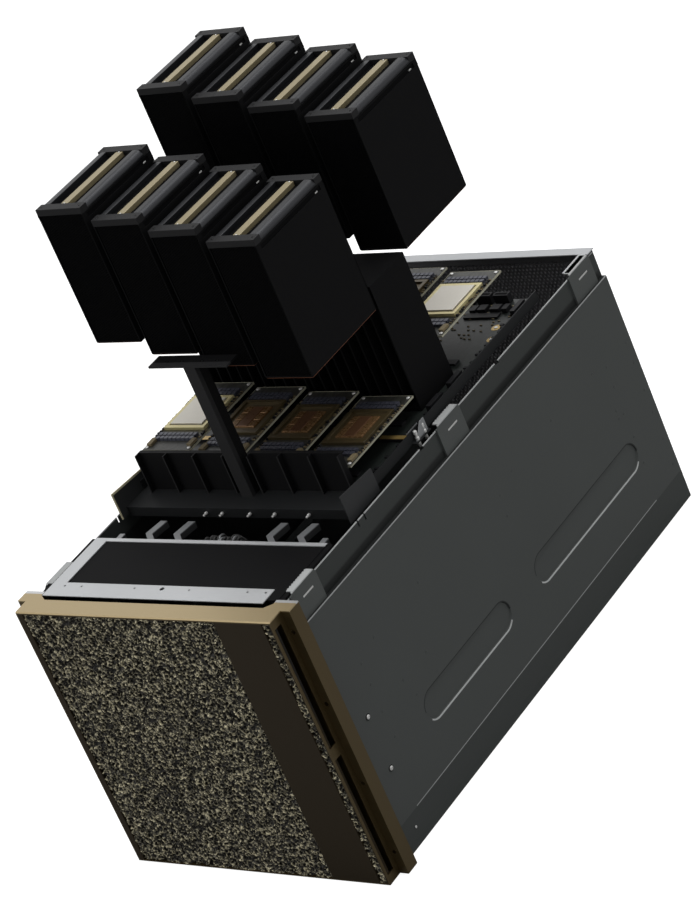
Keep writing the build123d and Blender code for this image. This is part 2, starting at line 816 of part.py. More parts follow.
# Air baffle: two ribbed halves of three bays each, with a lip along the top
with BuildPart() as air_baffle:
    for side in (-1, 1):
        inner = side * baffle_inner
        outer = side * baffle_width
        block(inner, outer, baffle_face, baffle_face + baffle_sheet, tray_floor, baffle_top)
        block(inner, outer, baffle_face, baffle_face + baffle_lip,
              baffle_top - baffle_sheet, baffle_top)
        for edge in range(baffle_ribs + 2):
            place = inner + (outer - inner) * edge / (baffle_ribs + 1)
            along = place - side * baffle_rib if edge > baffle_ribs else place
            block(along, along + side * baffle_rib, baffle_face - baffle_rib_reach,
                  baffle_face, tray_floor, baffle_top)
keep(air_baffle, "air_baffle")

# Centre divider: hollow post with a flat top plate
divider_front = tray_front + divider_setback
divider_top = tray_floor + divider_height
with BuildPart() as center_divider:
    block(-divider_half_width, divider_half_width, divider_front, divider_front + divider_depth,
          tray_floor, divider_top)
    block(-divider_half_width + divider_wall, divider_half_width - divider_wall,
          divider_front + divider_wall, divider_front + divider_depth,
          tray_floor + divider_wall, divider_top, Mode.SUBTRACT)
    block(-divider_plate_half, divider_plate_half, divider_front - divider_wall,
          divider_front - divider_wall + divider_plate_depth,
          divider_top, divider_top + divider_plate_sheet)
keep(center_divider, "center_divider")

# Carrier board on short standoffs, with a socket pair for each module
carrier_bottom = tray_floor + carrier_lift
carrier_top = carrier_bottom + carrier_sheet
carrier_half = tray_half_width - tray_sheet - carrier_side_gap
carrier_start = tray_front + carrier_setback
carrier_end = tray_rear - carrier_margin
with BuildPart() as carrier_board:
    block(-carrier_half, carrier_half, carrier_start, carrier_end, carrier_bottom, carrier_top)
    with BuildSketch(Plane.XY.offset(tray_floor)):
        with Locations((0, (carrier_start + carrier_end) / 2)):
            with GridLocations(carrier_post_pitch_x, carrier_post_pitch_y,
                               carrier_post_columns, carrier_post_rows):
                RegularPolygon(standoff_radius, 6)
    extrude(amount=carrier_lift)
keep(carrier_board, "carrier_board")

power_bar_place = tray_front + power_bar_setback
with BuildPart() as module_sockets:
    for row in (front_row, rear_row):
        for slot in row_slots:
            for end in (-1, 1):
                y = row + end * (module_length / 2 - socket_from_end)
                block(slot - socket_half, slot + socket_half, y - socket_depth / 2,
                      y + socket_depth / 2, carrier_top, carrier_top + socket_height)
    for side in (-1, 1):
        block(side * (carrier_half - power_bar_width), side * carrier_half,
              power_bar_place, power_bar_place + power_bar_depth,
              carrier_top, carrier_top + power_bar_height)
keep(module_sockets, "module_sockets")

# Switch heatsinks between the two rows of modules
switch_start = front_row + frame_offset + sink_length / 2 + switch_row_gap
switch_end = rear_row - module_length / 2 - switch_rear_gap
switch_outer = tray_half_width - switch_outer_gap
with BuildPart() as switch_heatsinks:
    for side in (-1, 1):
        near = side * switch_gap / 2
        far = side * switch_outer
        top = carrier_top + switch_height
        block(near, far, switch_start, switch_end,
              carrier_top, carrier_top + switch_base)
        block(near, far, switch_start, switch_end, top - switch_cap, top)
        fin_step = (far - near - side * switch_fin_sheet) / (switch_fins - 1)
        for fin in range(switch_fins):
            x = near + fin * fin_step
            block(x, x + side * switch_fin_sheet, switch_start, switch_end,
                  carrier_top + switch_base, top - switch_cap)
keep(switch_heatsinks, "switch_heatsinks")


def make_module(name, x, y, lift):
    """One accelerator module: board, plugs below, frame, lid and component banks above."""
    bottom = carrier_top + module_seat + lift
    top = bottom + module_sheet
    middle = y + frame_offset
    frame_width = module_width - 2 * frame_side_gap
    lid_half = module_width / 2 - lid_side_gap
    bank_half = module_width / 2 - bank_side_gap
    with BuildPart() as module:
        block(x - module_width / 2, x + module_width / 2, y - module_length / 2,
              y + module_length / 2, bottom, top)
        for end in (-1, 1):
            plug = y + end * (module_length / 2 - socket_from_end)
            block(x - socket_half, x + socket_half, plug - socket_depth / 2,
                  plug + socket_depth / 2, bottom - module_plug_height, bottom)
        with BuildSketch(Plane.XY.offset(top)):
            with Locations((x, middle)):
                Rectangle(frame_width, frame_length)
                Rectangle(frame_width - 2 * frame_wall, frame_length - 2 * frame_wall,
                          mode=Mode.SUBTRACT)
        extrude(amount=frame_height)
        block(x - lid_half, x + lid_half, middle - lid_length / 2,
              middle + lid_length / 2, top, top + lid_height)
        for end in (-1, 1):
            bank = middle + end * (frame_length / 2 + bank_gap + bank_depth / 2)
            block(x - bank_half, x + bank_half, bank - bank_depth / 2,
                  bank + bank_depth / 2, top, top + bank_height)
    keep(module, name)


def make_heatsink(name, x, y, bottom):
    """One heatsink: base, walls, fins along the air flow, and a cap with rounded shoulders."""
    left = x - sink_width / 2
    right = x + sink_width / 2
    front = y - sink_length / 2
    back = y + sink_length / 2
    cap_bottom = bottom + sink_height - sink_cap
    top = bottom + sink_height
    with BuildPart() as heatsink:
        block(left, right, front, back, bottom, bottom + sink_base)
        for side in (-1, 1):
            outer = x + side * sink_width / 2
            block(outer, outer - side * sink_wall, front, back, bottom + sink_base, cap_bottom)
            block(outer, outer - side * sink_notch_depth, front + sink_notch_inset,
                  back - sink_notch_inset, top - sink_notch_drop - sink_notch_height,
                  top - sink_notch_drop, Mode.SUBTRACT)
        fin_step = (sink_width - 2 * sink_wall) / (sink_fins + 1)
        for fin in range(sink_fins):
            middle = left + sink_wall + fin_step * (fin + 1)
            block(middle - sink_fin_sheet / 2, middle + sink_fin_sheet / 2, front, back,
                  bottom + sink_base, cap_bottom)
        block(left, right, front, back, cap_bottom, top)
        block(left + sink_bar_width, right - sink_bar_width, front + sink_rim, back - sink_rim,
              top - sink_recess, top, Mode.SUBTRACT)
        block(x - sink_strip_width / 2, x + sink_strip_width / 2, front + sink_rim,
              back - sink_rim, top - sink_recess, top - sink_recess + sink_strip_height)
        with BuildSketch(Plane.XZ.offset(-front - sink_rim)):
            for side in (-1, 1):
                with Locations((x + side * (sink_width - sink_shoulder) / 2,
                                top - sink_shoulder / 2)):
                    Rectangle(sink_shoulder, sink_shoulder)
                with Locations((x + side * (sink_width / 2 - sink_shoulder), top - sink_shoulder)):
                    Circle(sink_shoulder, mode=Mode.SUBTRACT)
        extrude(amount=2 * sink_rim - sink_length, mode=Mode.SUBTRACT)
    keep(heatsink, name)


# Modules and heatsinks hang in steps: each one further right is lifted a little less
rows = (("front", front_row, front_module_lift, front_sink_lift),
        ("rear", rear_row, rear_module_lift, rear_sink_lift))
for row_name, row_middle, module_lift, sink_lift in rows:
    for k, slot in enumerate(row_slots):
        steps = module_columns - 1 - k
        lift = module_lift + module_lift_step * steps
        make_module(f"{row_name}_module_{k + 1}", slot, row_middle, lift)
        lid_top = carrier_top + module_seat + lift + module_sheet + lid_height
        sink_bottom = lid_top + sink_seat_gap + sink_lift + sink_lift_step * steps
        make_heatsink(f"{row_name}_heatsink_{k + 1}", slot, row_middle + frame_offset, sink_bottom)
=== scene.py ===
import bpy, bmesh, json, math
from mathutils import Matrix, Vector

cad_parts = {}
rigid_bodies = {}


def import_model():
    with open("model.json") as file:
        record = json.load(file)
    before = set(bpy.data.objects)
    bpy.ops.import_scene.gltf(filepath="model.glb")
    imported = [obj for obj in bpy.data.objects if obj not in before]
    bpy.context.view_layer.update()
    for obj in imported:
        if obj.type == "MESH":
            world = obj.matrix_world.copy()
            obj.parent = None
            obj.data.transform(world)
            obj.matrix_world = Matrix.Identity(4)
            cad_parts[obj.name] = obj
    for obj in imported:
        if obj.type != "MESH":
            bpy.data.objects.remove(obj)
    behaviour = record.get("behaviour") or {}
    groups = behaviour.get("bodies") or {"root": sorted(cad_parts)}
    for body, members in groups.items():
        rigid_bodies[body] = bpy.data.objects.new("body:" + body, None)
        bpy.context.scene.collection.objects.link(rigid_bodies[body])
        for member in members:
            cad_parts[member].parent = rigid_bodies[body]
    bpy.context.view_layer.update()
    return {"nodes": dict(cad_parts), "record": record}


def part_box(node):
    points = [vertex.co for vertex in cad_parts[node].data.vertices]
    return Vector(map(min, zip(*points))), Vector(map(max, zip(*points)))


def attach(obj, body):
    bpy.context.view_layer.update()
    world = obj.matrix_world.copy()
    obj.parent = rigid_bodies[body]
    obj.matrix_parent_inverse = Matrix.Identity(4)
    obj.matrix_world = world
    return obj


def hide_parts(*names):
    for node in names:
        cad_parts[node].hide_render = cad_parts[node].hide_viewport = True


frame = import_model()
nodes = frame["nodes"]
print("frame loaded,", len(nodes), "nodes")


# Shader maths: a wire wraps an output socket, so an expression on wires adds its own Math nodes
class Wire:
    def __init__(self, finish, socket):
        self.finish = finish
        self.socket = socket

    def maths(self, operation, *values):
        return self.finish.node("ShaderNodeMath", {"operation": operation}, dict(enumerate(values)))

    def __add__(self, other): return self.maths("ADD", self, other)
    def __radd__(self, other): return self.maths("ADD", other, self)
    def __sub__(self, other): return self.maths("SUBTRACT", self, other)
    def __rsub__(self, other): return self.maths("SUBTRACT", other, self)
    def __mul__(self, other): return self.maths("MULTIPLY", self, other)
    def __rmul__(self, other): return self.maths("MULTIPLY", other, self)
    def __truediv__(self, other): return self.maths("DIVIDE", self, other)
    def __rtruediv__(self, other): return self.maths("DIVIDE", other, self)
    def __pow__(self, other): return self.maths("POWER", self, other)
    def __gt__(self, other): return self.maths("GREATER_THAN", self, other)
    def __lt__(self, other): return self.maths("LESS_THAN", self, other)
    def __abs__(self): return self.maths("ABSOLUTE", self)


class Nodes:
    # anything that owns a node tree
    def __init__(self, tree):
        self.tree = tree

    def feed(self, socket, value):
        if isinstance(value, Wire):
            self.tree.links.new(value.socket, socket)
        elif isinstance(value, tuple) and len(value) == 3 and socket.type == "RGBA":
            socket.default_value = (*value, 1.0)
        else:
            socket.default_value = value

    def node(self, kind, settings=None, sockets=None, out=0):
        made = self.tree.nodes.new(kind)
        for key, value in (settings or {}).items():
            setattr(made, key, value)
        for key, value in (sockets or {}).items():
            self.feed(made.inputs[key], value)
        return Wire(self, made.outputs[out])


class Finish(Nodes):
    def __init__(self, name, roughness=0.5, metallic=0.0, level=0.5):
        self.material = bpy.data.materials.new(name)
        self.material.use_nodes = True
        self.tree = self.material.node_tree
        self.tree.nodes.clear()
        self.shader = self.tree.nodes.new("ShaderNodeBsdfPrincipled")
        output = self.tree.nodes.new("ShaderNodeOutputMaterial")
        self.tree.links.new(self.shader.outputs[0], output.inputs[0])
        self.set("Roughness", roughness)
        self.set("Metallic", metallic)
        self.set("Specular IOR Level", level)
        place = self.node("ShaderNodeTexCoord", out="Object")
        self.place = place
        self.x, self.y, self.z = (self.node("ShaderNodeSeparateXYZ", {}, {0: place}, axis)
                                  for axis in range(3))

    def set(self, name, value):
        self.feed(self.shader.inputs[name], value)

    def mix(self, share, first, second):
        return self.node("ShaderNodeMix", {"data_type": "RGBA"}, {0: share, 6: first, 7: second}, 2)

    def noise(self, scale, detail=3.0, rough=0.55, place=None):
        return self.node("ShaderNodeTexNoise", {}, {"Vector": place or self.place, "Scale": scale,
                                                    "Detail": detail, "Roughness": rough})

    def stretch(self, x, y, z):
        return self.node("ShaderNodeMapping", {}, {"Vector": self.place, "Scale": (x, y, z)})

    def bump(self, height, depth, strength=1.0):
        self.set("Normal", self.node("ShaderNodeBump", {}, {"Height": height, "Distance": depth,
                                                            "Strength": strength}))


def tone(red, green, blue):
    # a colour as seen on screen, 0 to 255, made linear for a shader
    return tuple(((c / 255 + 0.055) / 1.055) ** 2.4 if c > 10 else c / 255 / 12.92
                 for c in (red, green, blue))


# Camera at the photograph's viewpoint
view = {"place": (3.0852, -3.1091, 2.5734), "forward": (-0.6253, 0.6392, -0.4476),
        "up": (-0.0007, 0.5732, 0.8194), "lens": 138.87}
cameraData = bpy.data.cameras.new("viewpoint")
cameraData.lens = view["lens"]
cameraData.sensor_width = 36.0
cameraData.clip_end = 50.0
camera = bpy.data.objects.new("viewpoint", cameraData)
bpy.context.scene.collection.objects.link(camera)
forward = Vector(view["forward"]).normalized()
right = forward.cross(Vector(view["up"])).normalized()
upward = right.cross(forward)
camera.matrix_world = Matrix((
    (right.x, upward.x, -forward.x, view["place"][0]),
    (right.y, upward.y, -forward.y, view["place"][1]),
    (right.z, upward.z, -forward.z, view["place"][2]), (0, 0, 0, 1)))
bpy.context.scene.camera = camera
bpy.context.scene.view_settings.view_transform = "Standard"

# Studio light, with a white surround that only the camera and reflections see
light = {"world": 0.288, "overhead": 66.0, "front": 18.0, "side": 12.0}
world = bpy.data.worlds.new("studio")
bpy.context.scene.world = world
world.use_nodes = True
world.node_tree.nodes.clear()
studio = Nodes(world.node_tree)
path = studio.node("ShaderNodeLightPath").socket.node.outputs
seen, sent, gloss = (Wire(studio, path[f"Is {kind} Ray"]) for kind in ("Camera", "Transmission", "Glossy"))
plain = seen.maths("MAXIMUM", seen.maths("MAXIMUM", seen, sent), gloss)
strength = studio.node("ShaderNodeMapRange", {}, {"Value": plain, "To Min": light["world"], "To Max": 1.0})
surround = studio.node("ShaderNodeBackground", {}, {"Color": (1.0, 1.0, 1.0), "Strength": strength})
studio.tree.links.new(surround.socket, studio.tree.nodes.new("ShaderNodeOutputWorld").inputs[0])


def softLamp(name, place, aim, size, power):
    lamp = bpy.data.lights.new(name, "AREA")
    lamp.shape = "RECTANGLE"
    lamp.size, lamp.size_y = size
    lamp.energy = power
    holder = bpy.data.objects.new(name, lamp)
    bpy.context.scene.collection.objects.link(holder)
    holder.location = place
    holder.rotation_euler = (Vector(aim) - Vector(place)).to_track_quat("-Z", "Y").to_euler()


softLamp("overhead", (0.3, 0.6, 3.2), (0, 0, 0.4), (2.6, 2.6), light["overhead"])
softLamp("frontLeft", (-1.6, -3.0, 1.6), (0, 0, 0.35), (1.6, 1.6), light["front"])
softLamp("sideRight", (3.4, 0.4, 1.8), (0, 0, 0.3), (2.0, 1.6), light["side"])

# Pale floor: white to the camera, and it keeps the object's shadow
floorMesh = bpy.data.meshes.new("floor")
floorMesh.from_pydata([(-9, -9, -0.001), (9, -9, -0.001), (9, 9, -0.001), (-9, 9, -0.001)], [],
                      [(0, 1, 2, 3)])
floor = bpy.data.objects.new("floor", floorMesh)
bpy.context.scene.collection.objects.link(floor)
pale = Finish("paleFloor", roughness=0.9, level=0.1)
paleRays = pale.node("ShaderNodeLightPath", {}, {}, "Is Camera Ray")
pale.set("Base Color", (0.5, 0.5, 0.5))
pale.set("Emission Color", pale.mix(paleRays, (0.0, 0.0, 0.0), (1.0, 1.0, 1.0)))
pale.set("Emission Strength", 0.9)
floor.data.materials.append(pale.material)
print("camera, light and floor")

# Finishes for the frame's own nodes
def paintFinish(name, colour, roughness=0.55, level=0.16):
    made = Finish(name, roughness=roughness, level=level)
    broad = made.noise(5.0, 2.0)
    fine = made.noise(900.0, 2.0)
    made.set("Base Color", made.mix(broad * 0.35 + fine * 0.25, tone(*[c * 0.9 for c in colour]),
                                    tone(*[c * 1.08 for c in colour])))
    made.set("Roughness", fine * 0.12 + (roughness - 0.06))
    made.bump(fine, 0.00035, 0.35)
    return made


def metalFinish(name, colour, run, roughness=0.35, metallic=0.85, level=0.5):
    # brushed along the axis whose scale in run is small
    made = Finish(name, roughness=roughness, metallic=metallic, level=level)
    brushed = made.noise(60.0, 4.0, 0.6, made.stretch(*run))
    broad = made.noise(7.0, 2.0)
    made.set("Base Color", made.mix(brushed * 0.18 + broad * 0.18, tone(*[c * 0.86 for c in colour]),
                                    tone(*[min(255, c * 1.12) for c in colour])))
    made.set("Roughness", brushed * 0.16 + (roughness - 0.08))
    made.bump(brushed, 0.0002, 0.25)
    return made


def boardFinish(name, colour):
    made = Finish(name, roughness=0.42, level=0.4)
    tracks = made.node("ShaderNodeTexVoronoi", {"feature": "F1"},
                       {"Vector": made.stretch(1.0, 0.35, 1.0), "Scale": 260.0}, "Color")
    share = made.node("ShaderNodeSeparateColor", {}, {0: tracks})
    made.set("Base Color", made.mix(share * 0.5, tone(*[c * 0.75 for c in colour]),
                                    tone(*[c * 1.5 for c in colour])))
    made.bump(share, 0.0003, 0.3)
    return made


def edged(made, mask, colour):
    # another colour over the finish's own colour where the mask is 1; this script lays painted highlights and
    # painted shade with it, as well as other marks
    base = made.shader.inputs["Base Color"]
    own = Wire(made, base.links[0].from_socket)
    made.set("Base Color", made.mix(mask, own, tone(*colour)))
    return made


def limit(wire, low, high):
    return wire.maths("MINIMUM", wire.maths("MAXIMUM", wire, low), high)


# Side skins: two pressed stadium beads, as distances from the ends, with painted highlights along the beads'
# lower lips and the folds, and painted shade over the beads' tops and the top fold
skinLow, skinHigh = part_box("side_skin_right")
bead = {"front": (0.14835, 0.38335), "rear": (0.38855, 0.08055), "level": 0.138, "radius": 0.023,
        "lip": (0.0236, 0.0011), "shade": (0.0232, 0.0012), "top": 0.0012, "outer": 0.0013,
        "foot": 0.0014, "footEnds": (0.06, 0.08)}


def skinFinish(name):
    made = paintFinish(name, (77, 80, 79), 0.5)
    paintedLipHighlight = paintedBeadShade = None
    for start, end in ([skinLow.y + a for a in bead["front"]], [skinHigh.y - a for a in bead["rear"]]):
        across = made.y - limit(made.y, start + bead["radius"], end - bead["radius"])
        up = made.z - bead["level"]
        reach = (across * across + up * up) ** 0.5
        lip = (abs(reach - bead["lip"][0]) < bead["lip"][1]) * ((up + abs(across) * 0.9) < 0.0)
        shade = (abs(reach - bead["shade"][0]) < bead["shade"][1]) * (up > 0.0)
        paintedLipHighlight = lip if paintedLipHighlight is None else paintedLipHighlight + lip
        paintedBeadShade = shade if paintedBeadShade is None else paintedBeadShade + shade
    top = made.z > skinHigh.z - bead["top"]
    outer = abs(made.x) > skinHigh.x - bead["outer"]
    paintedFoldHighlight = top * outer + ((made.z < skinLow.z + bead["foot"]) * (made.y > skinLow.y + bead["footEnds"][0])
                          * (made.y < skinHigh.y - bead["footEnds"][1]))
    # painted shade: darker over the upper edge of each bead and in a band along the skin's top
    edged(made, limit(paintedBeadShade * 0.8 + top * 0.9, 0.0, 1.0), (24, 25, 25))
    # painted highlight: lighter along the lower lip of each bead, the outer top edge and the foot of the skin
    return edged(made, limit(paintedLipHighlight * 0.85 + paintedFoldHighlight * 0.6, 0.0, 1.0), (196, 198, 198))


# Paints, each as (name, colour, roughness, gloss); the keys with underscores are the frame's slots
paints = {
    "chassis_paint": ("satinChassisPaint", (66, 69, 68)),
    "black_panel": ("blackPanelPaint", (13, 13, 14), 0.62, 0.05),
    "metal_foam": ("foamBody", (26, 23, 19), 0.7, 0.2),
    "dark_steel": ("darkCageSteel", (34, 35, 36), 0.5, 0.1),
    "black_aluminium": ("blackAnodising", (13, 13, 14), 0.62, 0.05),
    "connector_plastic": ("connectorPlastic", (24, 24, 26), 0.5),
    "fan_plastic": ("fanPlastic", (20, 20, 21), 0.5),
    "sinkRim": ("sinkRimPaint", (33, 33, 34), 0.5, 0.1),
    "edge": ("boardEdgeFinish", (182, 180, 160), 0.5),
    "ceramic": ("ceramicCase", (128, 116, 90), 0.55),
    "cable": ("cableSleeve", (74, 74, 74), 0.6),
    "mesh": ("meshPaint", (116, 116, 118), 0.6),
    # painted shade: near-black filled into recesses, slots and openings where there is only shade
    "shadeFill": ("darkVoid", (7, 7, 8), 0.8, 0.05),
    "white": ("whiteMark", (190, 190, 188), 0.5),
    "wall": ("wallPaint", (58, 61, 60), 0.5),
    "tab": ("tabPaint", (84, 87, 86), 0.5),
    "rear": ("rearWallPaint", (66, 69, 68), 0.5),
    "baffle": ("bafflePaint", (15, 15, 16), 0.55, 0.08),
    "plate": ("platePaint", (52, 53, 54), 0.5),
}
# Metals, each as (name, colour, brushing, roughness, metallic, gloss)
metals = {
    "bright_steel": ("zincPlatedSteel", (208, 210, 212), (1.0, 14.0, 1.0), 0.42, 0.45),
    "gold_metal": ("bronzeAnodising", (90, 76, 48), (0.6, 14.0, 14.0), 0.36, 0.7),
    "band_metal": ("darkBandAnodising", (50, 42, 29), (14.0, 1.0, 0.6), 0.5, 0.35, 0.12),
    "cooler_aluminium": ("coolerFins", (150, 152, 155), (14.0, 1.0, 1.0)),
    "fastener_steel": ("screwSteel", (200, 200, 200), (8.0, 8.0, 8.0), 0.3),
    "supply_steel": ("supplySteel", (138, 140, 142), (1.0, 14.0, 14.0), 0.46, 0.6),
    "sinkBar": ("sinkBarAnodising", (42, 43, 46), (14.0, 0.8, 14.0), 0.36, 0.6, 0.4),
    "strip": ("champagneStrip", (156, 144, 112), (14.0, 0.8, 14.0), 0.4, 0.35),
    "copper": ("copperBase", (150, 96, 70), (6.0, 1.0, 6.0), 0.35, 0.8),
    "goldFrame": ("goldFrame", (240, 224, 168), (9.0, 9.0, 2.0), 0.35, 0.4),
    "darkFrame": ("darkFrame", (84, 72, 46), (9.0, 9.0, 2.0), 0.4, 0.4),
    "silicon": ("siliconDie", (146, 112, 74), (3.0, 5.0, 1.0), 0.28, 0.5),
    "die": ("dieTop", (128, 92, 66), (3.0, 5.0, 1.0), 0.3, 0.5),
    "lid": ("nickelLid", (232, 226, 214), (2.0, 3.0, 1.0), 0.32, 0.45),
    "coil": ("coilCase", (78, 80, 92), (9.0, 9.0, 3.0), 0.4, 0.3),
    "goldBar": ("goldBar", (196, 166, 102), (2.0, 9.0, 9.0), 0.32, 0.6),
    "steel": ("brightSteel", (226, 226, 224), (8.0, 8.0, 8.0), 0.3, 0.35),
    "handle": ("handleSteel", (66, 67, 68), (6.0, 6.0, 1.0), 0.4, 0.4),
}
boards = {
    "circuit_board": ("solderMask", (24, 28, 26)),
    "module_board": ("moduleBoard", (50, 50, 46)),
}
finishes = {"skin": skinFinish("skinPaint")}
for make, table in ((paintFinish, paints), (metalFinish, metals), (boardFinish, boards)):
    for key, values in table.items():
        finishes[key] = make(*values)


def paintedTopHighlight(key, node, depth, colour, share=None):
    # painted highlight: a lighter band along a node's top edge, where light falls on it
    made = finishes[key]
    mask = made.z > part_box(node)[1].z - depth
    edged(made, mask * share if share else mask, colour)


bezelLow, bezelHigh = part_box("bezel_frame")
foamLow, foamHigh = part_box("bezel_foam_panel")
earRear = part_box("ear_frame")[1].y
# sizes of the bands laid over the finishes below, among them the depth of the bezel's painted top highlight
# and the height of the wall's painted shade
bandSizes = {"bezelLitTop": 0.0017, "earStrip": 0.0055, "slot": 0.0012, "slotTop": 0.004, "slotSide": 0.01,
        "paintedGapShade": 0.013, "baffle": 0.0006, "plate": 0.0022, "plateFall": 0.006 / 0.076}
bronze = finishes["gold_metal"]
channel = ((bronze.x > foamHigh.x + bandSizes["slot"]) * (bronze.z < bezelHigh.z - bandSizes["slotTop"])
           * (bronze.x < bezelHigh.x - bandSizes["slotSide"]) * (bronze.y > bezelLow.y + bandSizes["slot"]))
edged(bronze, channel * 0.8, (176, 136, 66))
# painted light: the bezel's top is lighter bronze than its sides, as where the overhead light falls
paintedTopHighlight("gold_metal", "bezel_frame", bandSizes["bezelLitTop"], (168, 150, 114))
edged(bronze, (bronze.z > bezelHigh.z - bandSizes["bezelLitTop"]) * (bronze.y > earRear - bandSizes["earStrip"]),
      (196, 197, 198))
wallPaint = finishes["wall"]
# painted shade: the wall darkens towards the skin's top fold, as in the shadow of the gap
paintedGapShade = limit((skinHigh.z + bandSizes["paintedGapShade"] - wallPaint.z) * 260.0, 0.0, 1.0)
edged(wallPaint, paintedGapShade * 0.8, (20, 21, 21))
# painted highlights: lighter bands along the tops of the walls, the tabs, the rear wall and the fan handles
paintedTopHighlight("wall", "inner_wall_right", 0.0014, (185, 187, 187), 0.9)
paintedTopHighlight("tab", "cover_tabs", 0.0016, (176, 178, 178))
paintedTopHighlight("rear", "rear_wall", 0.002, (186, 188, 190))
paintedTopHighlight("handle", "fan_handles", 0.0014, (134, 136, 138))
bafflePaint = finishes["baffle"]
edged(bafflePaint, (bafflePaint.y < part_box("air_baffle")[0].y + bandSizes["baffle"]) * 0.8, (48, 48, 49))
plateLow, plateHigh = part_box("tray_side_plates")
platePaint = finishes["plate"]
slope = platePaint.z - (plateHigh.z - bandSizes["plate"]) + (platePaint.y - plateLow.y) * bandSizes["plateFall"]
rim = ((slope > -0.0008) + (platePaint.y < plateLow.y + bandSizes["plate"])) * (platePaint.x < 0.0)
edged(platePaint, limit(rim, 0.0, 1.0), (214, 206, 172))
own = {"side_skin_right": "skin", "side_skin_left": "skin", "inner_wall_right": "wall",
       "inner_wall_left": "wall", "cover_tabs": "tab", "rear_wall": "rear", "air_baffle": "baffle",
       "tray_side_plates": "plate", "center_divider": "baffle", "fan_handles": "handle",
       "rear_grille": "mesh", "cable_loom": "cable"}
slots = {part["node"]: part["material_slot"] for part in frame["record"]["subparts"]}
for name, node in nodes.items():
    node.data.materials.clear()
    node.data.materials.append(finishes[own.get(name, slots[name])].material)
print("finishes on", len(nodes), "nodes")


# Geometry Nodes: a tree with named inputs, which ends in Realize Instances and Set Material
class Tree(Nodes):
    def __init__(self, name, inputs):
        self.tree = bpy.data.node_groups.new(name, "GeometryNodeTree")
        face = self.tree.interface
        face.new_socket("Geometry", in_out="INPUT", socket_type="NodeSocketGeometry")
        self.ids = {}
        for label, value in inputs.items():
            kind = ("NodeSocketVector" if isinstance(value, tuple) else
                    "NodeSocketInt" if isinstance(value, int) else "NodeSocketFloat")
            socket = face.new_socket(label, in_out="INPUT", socket_type=kind)
            socket.default_value = value
            self.ids[label] = socket.identifier
        socket = face.new_socket("Finish", in_out="INPUT", socket_type="NodeSocketMaterial")
        self.ids["Finish"] = socket.identifier
        face.new_socket("Geometry", in_out="OUTPUT", socket_type="NodeSocketGeometry")
        self.start = self.tree.nodes.new("NodeGroupInput")
        self.end = self.tree.nodes.new("NodeGroupOutput")

    def input(self, label):
        return Wire(self, self.start.outputs[label])

    def plus(self, first, second):
        return self.node("ShaderNodeVectorMath", {"operation": "ADD"}, {0: first, 1: second})

    def scaled(self, vector, amount):
        return self.node("ShaderNodeVectorMath", {"operation": "SCALE"}, {0: vector, "Scale": amount})

    def grid(self):
        # a line of points, and the column and row of each
        spot = self.node("GeometryNodeInputIndex")
        columns = self.input("Columns")
        line = self.node("GeometryNodeMeshLine", {}, {"Count": columns * self.input("Rows")})
        return line, spot.maths("MODULO", spot, columns), spot.maths("FLOOR", spot / columns)

    def close(self, shape):
        real = self.node("GeometryNodeRealizeInstances", {}, {0: shape})
        done = self.node("GeometryNodeSetMaterial", {}, {"Geometry": real, "Material": self.input("Finish")})
        self.tree.links.new(done.socket, self.end.inputs[0])

    def apply(self, piece, finish, values):
        modifier = piece.modifiers.new(self.tree.name, "NODES")
        modifier.node_group = self.tree
        for label, value in values.items():
            modifier[self.ids[label]] = value
        modifier[self.ids["Finish"]] = finishes[finish].material
        settle(piece)


def settle(piece):
    # what the modifiers make becomes the piece's own plain mesh
    bpy.context.view_layer.update()
    ready = piece.evaluated_get(bpy.context.evaluated_depsgraph_get())
    mesh = bpy.data.meshes.new_from_object(ready)
    piece.modifiers.clear()
    piece.data = mesh
    mesh.name = piece.name


def newPiece(name, body):
    piece = bpy.data.objects.new(name, bpy.data.meshes.new(name))
    bpy.context.scene.collection.objects.link(piece)
    piece["body"] = body
    return piece


def tubeLoops(rings, sides):
    # faces round a row of rings, and the two ends
    loops = [(ring * sides + i, ring * sides + (i + 1) % sides, (ring + 1) * sides + (i + 1) % sides,
              (ring + 1) * sides + i) for ring in range(rings - 1) for i in range(sides)]
    return loops + [tuple(range(sides)), tuple(range((rings - 1) * sides, rings * sides))]


def border(low, high, innerLow, innerHigh):
    # the four strips between two rectangles
    return ((low, (high[0], innerLow[1])), ((low[0], innerHigh[1]), high),
            ((low[0], innerLow[1]), (innerLow[0], innerHigh[1])),
            ((innerHigh[0], innerLow[1]), (high[0], innerHigh[1])))


